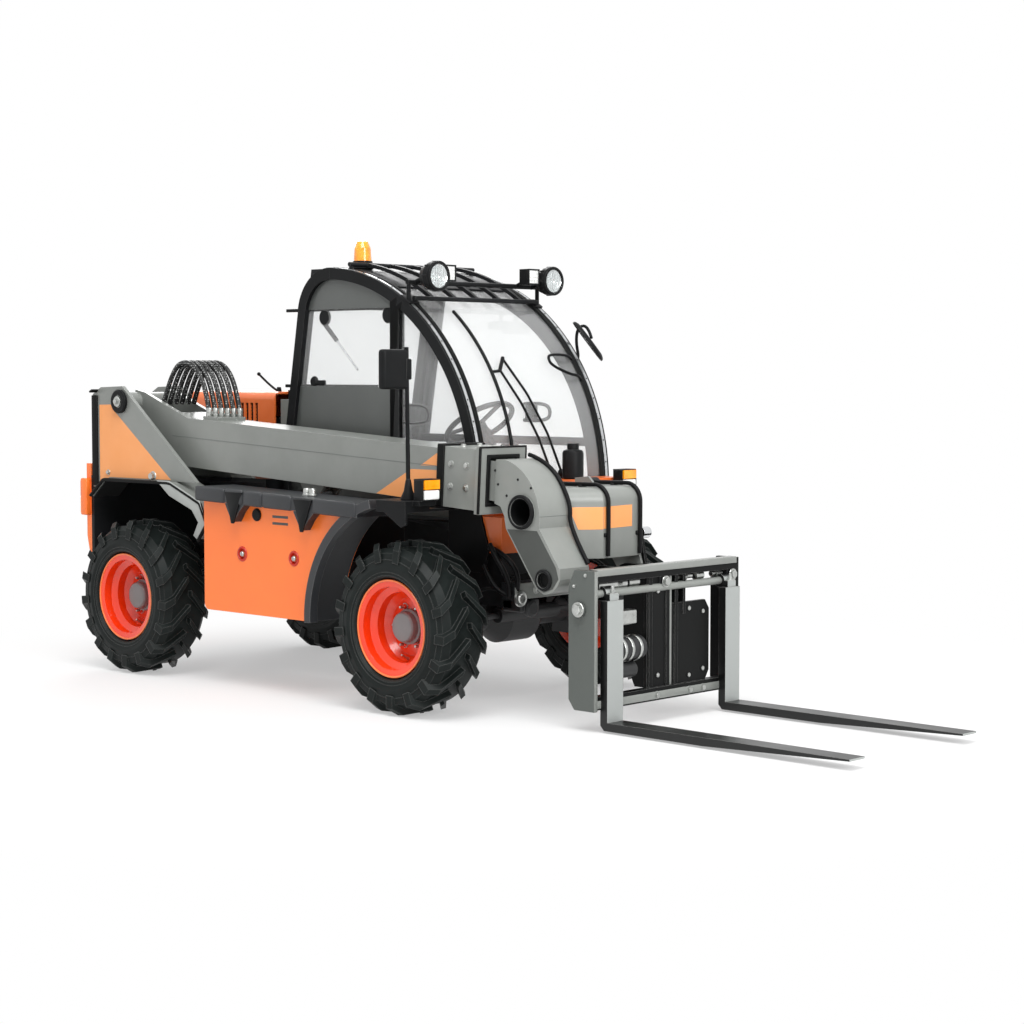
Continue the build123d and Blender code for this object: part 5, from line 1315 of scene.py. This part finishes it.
    @staticmethod
    def pipes():
        """Pipes and hoses to the axle and along the frame."""
        for name, radius, route in (
            ("axle_pipe_right", 8, [(60, -330, 450), (110, -330, 520), (190, -300, 545), (240, -230, 500)]),
            ("axle_pipe_left", 8, [(60, 330, 450), (110, 320, 520), (190, 280, 545), (240, 200, 500)]),
            ("steer_hose_right", 9, [(105, -180, 430), (150, -220, 500), (170, -240, 600), (140, -230, 690)]),
            (
                "brake_hose_front",
                12,
                [(204, -340, 735), (247, -345, 680), (300, -340, 612), (318, -330, 548), (290, -300, 505)],
            ),
            (
                "brake_hose_rear",
                12,
                [(180, -320, 720), (262, -325, 700), (345, -325, 640), (352, -310, 575), (318, -290, 530)],
            ),
            ("tilt_pipe_low", 10, [(150, -320, 640), (200, -325, 560), (250, -310, 520), (300, -290, 500)]),
            ("steer_hose_left", 9, [(105, 180, 430), (150, 210, 500), (170, 230, 600), (140, 225, 690)]),
        ):
            tube(name, route, radius, "chassis", "hose_cover")

    @staticmethod
    def rear_and_door():
        """Step treads, blank plate, louvres, tow pin, and the door's handle and lock."""
        treads = [block((-910, 572 + i * 18, 442.5), (290, 8, 6), 2, 1) for i in range(7)]
        fitted("step_treads", "chassis", "zinc_plate", treads)
        fitted("blank_plate", "chassis", "white_acrylic", [block((-2478.2, 0, 900), (4, 340, 120), 1)])
        louvres = [block((-2361, 310, 1120 + i * 30), (6, 420, 10), 2, 1) for i in range(6)]
        fitted("hood_rear_louvres", "hood", "black_abs", louvres)
        tow = [block((-2430, 0, z), (90, 110, 14), 5) for z in (478, 536)]
        tow += [bar((-2448, 0, 460), (-2448, 0, 556), 13), block((-2394, 0, 507), (20, 140, 110), 5)]
        fitted("tow_pin", "chassis", "cast_iron", tow)
        lock = disc((-640, 732, 1150), LEFT, button(16, 10, -4, 4, 6), 24)
        grip = block((-560, 742, 1150), (110, 22, 30), 9, 3)
        fitted("door_handle", "door", "black_abs", [grip, lock])


class TELEHANDLER_OT_studio(bpy.types.Operator):
    """Make the floor, the lamps, the room's light and the camera"""

    bl_idname = "telehandler.studio"
    bl_label = "Studio"

    def execute(self, context):
        studio = context.scene.telehandler_studio
        bm = bmesh.new()
        bmesh.ops.create_grid(bm, x_segments=1, y_segments=1, size=studio.floor_size / 2)
        mesh = bpy.data.meshes.new("floor")
        bm.to_mesh(mesh)
        bm.free()
        mesh.materials.append(self.floor_finish(studio))
        self.hold("floor", mesh, (0, 0, 0))
        for name, place, size, power in (
            ("key", (2.8, -3.2, 7.8), 5.0, studio.key_power),
            ("fill", (8.0, -2.0, 4.0), 3.5, studio.fill_power),
            ("rim", (-6.5, 4.5, 5.0), 4.0, studio.fill_power * 0.8),
        ):
            lamp = bpy.data.lights.new(name, "AREA")
            lamp.size = size
            lamp.energy = power
            self.hold(name, lamp, place, Vector((0.2, 0, 0.8)) - Vector(place))
        self.room(context.scene, studio.world_strength)
        context.scene.view_settings.view_transform = "Standard"
        camera = bpy.data.cameras.new("camera")
        camera.lens = studio.lens
        camera.shift_y = studio.camera_shift
        turn, drop = studio.camera_turn, studio.camera_drop
        way = Vector((-sin(turn) * cos(drop), cos(turn) * cos(drop), -sin(drop)))
        context.scene.camera = self.hold("camera", camera, studio.camera_place, way)
        return {"FINISHED"}

    @staticmethod
    def hold(name, data, place, way=None):
        """Links an object at a place, looking along a way."""
        holder = bpy.data.objects.new(name, data)
        holder.location = place
        if way is not None:
            holder.rotation_euler = way.to_track_quat("-Z", "Y").to_euler()
        bpy.context.scene.collection.objects.link(holder)
        return holder

    @staticmethod
    def seen(tree):
        """One for what the viewer sees, directly or in a reflection or through glass."""
        rays = add_node(tree, "ShaderNodeLightPath").outputs
        share = rays["Is Camera Ray"]
        for kind in ("Is Glossy Ray", "Is Transmission Ray"):
            either = {0: share, 1: rays[kind]}
            share = add_node(tree, "ShaderNodeMath", either, operation="MAXIMUM").outputs[0]
        return share

    def room(self, scene, strength):
        """Even light from all round, seen as plain white."""
        scene.world = bpy.data.worlds.new("room")
        scene.world.use_nodes = True
        tree = scene.world.node_tree
        tree.nodes.clear()
        even = add_node(tree, "ShaderNodeBackground", {"Color": (1, 1, 1, 1), "Strength": strength})
        white = add_node(tree, "ShaderNodeBackground", {"Color": (1, 1, 1, 1), "Strength": 1.0})
        layers = {0: self.seen(tree), 1: even.outputs["Background"], 2: white.outputs["Background"]}
        mix = add_node(tree, "ShaderNodeMixShader", layers)
        add_node(tree, "ShaderNodeOutputWorld", {"Surface": mix.outputs["Shader"]})

    def floor_finish(self, studio):
        """Pale matt floor that keeps the shadow, lightened near the machine by painted light, and runs out to
        plain white further off.
        """
        material, tree = new_material("studio_floor")
        look = {"Base Color": linear(studio.floor_tone), "Roughness": 0.9}
        matt = add_node(tree, "ShaderNodeBsdfPrincipled", look)
        white = add_node(tree, "ShaderNodeEmission", {"Color": (1, 1, 1, 1), "Strength": 1.0})
        place = add_node(tree, "ShaderNodeTexCoord").outputs["Object"]
        reach = add_node(tree, "ShaderNodeVectorMath", {0: place}, operation="LENGTH").outputs["Value"]
        # painted light: even near the machine the viewer sees 42 % of plain white, which lightens the shadow
        far = ramped(tree, reach, (1.9, 3.6), (0.42, 1.0), interpolation_type="SMOOTHSTEP")
        share = add_node(tree, "ShaderNodeMath", {0: far, 1: self.seen(tree)}, operation="MULTIPLY")
        layers = {0: share.outputs[0], 1: matt.outputs["BSDF"], 2: white.outputs["Emission"]}
        mix = add_node(tree, "ShaderNodeMixShader", layers)
        add_node(tree, "ShaderNodeOutputMaterial", {"Surface": mix.outputs["Shader"]})
        return material


class TELEHANDLER_PT_panel(bpy.types.Panel):
    """Shows a button for each of the telehandler's steps"""

    bl_label = "Telehandler"
    bl_idname = "TELEHANDLER_PT_panel"
    bl_space_type = "VIEW_3D"
    bl_region_type = "UI"
    bl_category = "Telehandler"

    def draw(self, context):
        for operator in OPERATORS:
            self.layout.operator(operator.bl_idname)


GROUPS = (
    ("telehandler_paint", TelehandlerPaint),
    ("telehandler_studio", TelehandlerStudio),
)
OPERATORS = (
    TELEHANDLER_OT_finishes,
    TELEHANDLER_OT_hoses,
    TELEHANDLER_OT_wheels,
    TELEHANDLER_OT_boom_fittings,
    TELEHANDLER_OT_head_fittings,
    TELEHANDLER_OT_carriage_fittings,
    TELEHANDLER_OT_lamps,
    TELEHANDLER_OT_cab_fittings,
    TELEHANDLER_OT_cab_corner,
    TELEHANDLER_OT_interior,
    TELEHANDLER_OT_body_fittings,
    TELEHANDLER_OT_studio,
)


def register():
    for name, group in GROUPS:
        bpy.utils.register_class(group)
        setattr(bpy.types.Scene, name, PointerProperty(type=group))
    for kind in OPERATORS + (TELEHANDLER_PT_panel,):
        bpy.utils.register_class(kind)


def unregister():
    for kind in OPERATORS + (TELEHANDLER_PT_panel,):
        bpy.utils.unregister_class(kind)
    for name, group in GROUPS:
        delattr(bpy.types.Scene, name)
        bpy.utils.unregister_class(group)


def main():
    register()
    for operator in OPERATORS:
        group, name = operator.bl_idname.split(".")
        getattr(getattr(bpy.ops, group), name)()


if __name__ == "__main__":
    main()
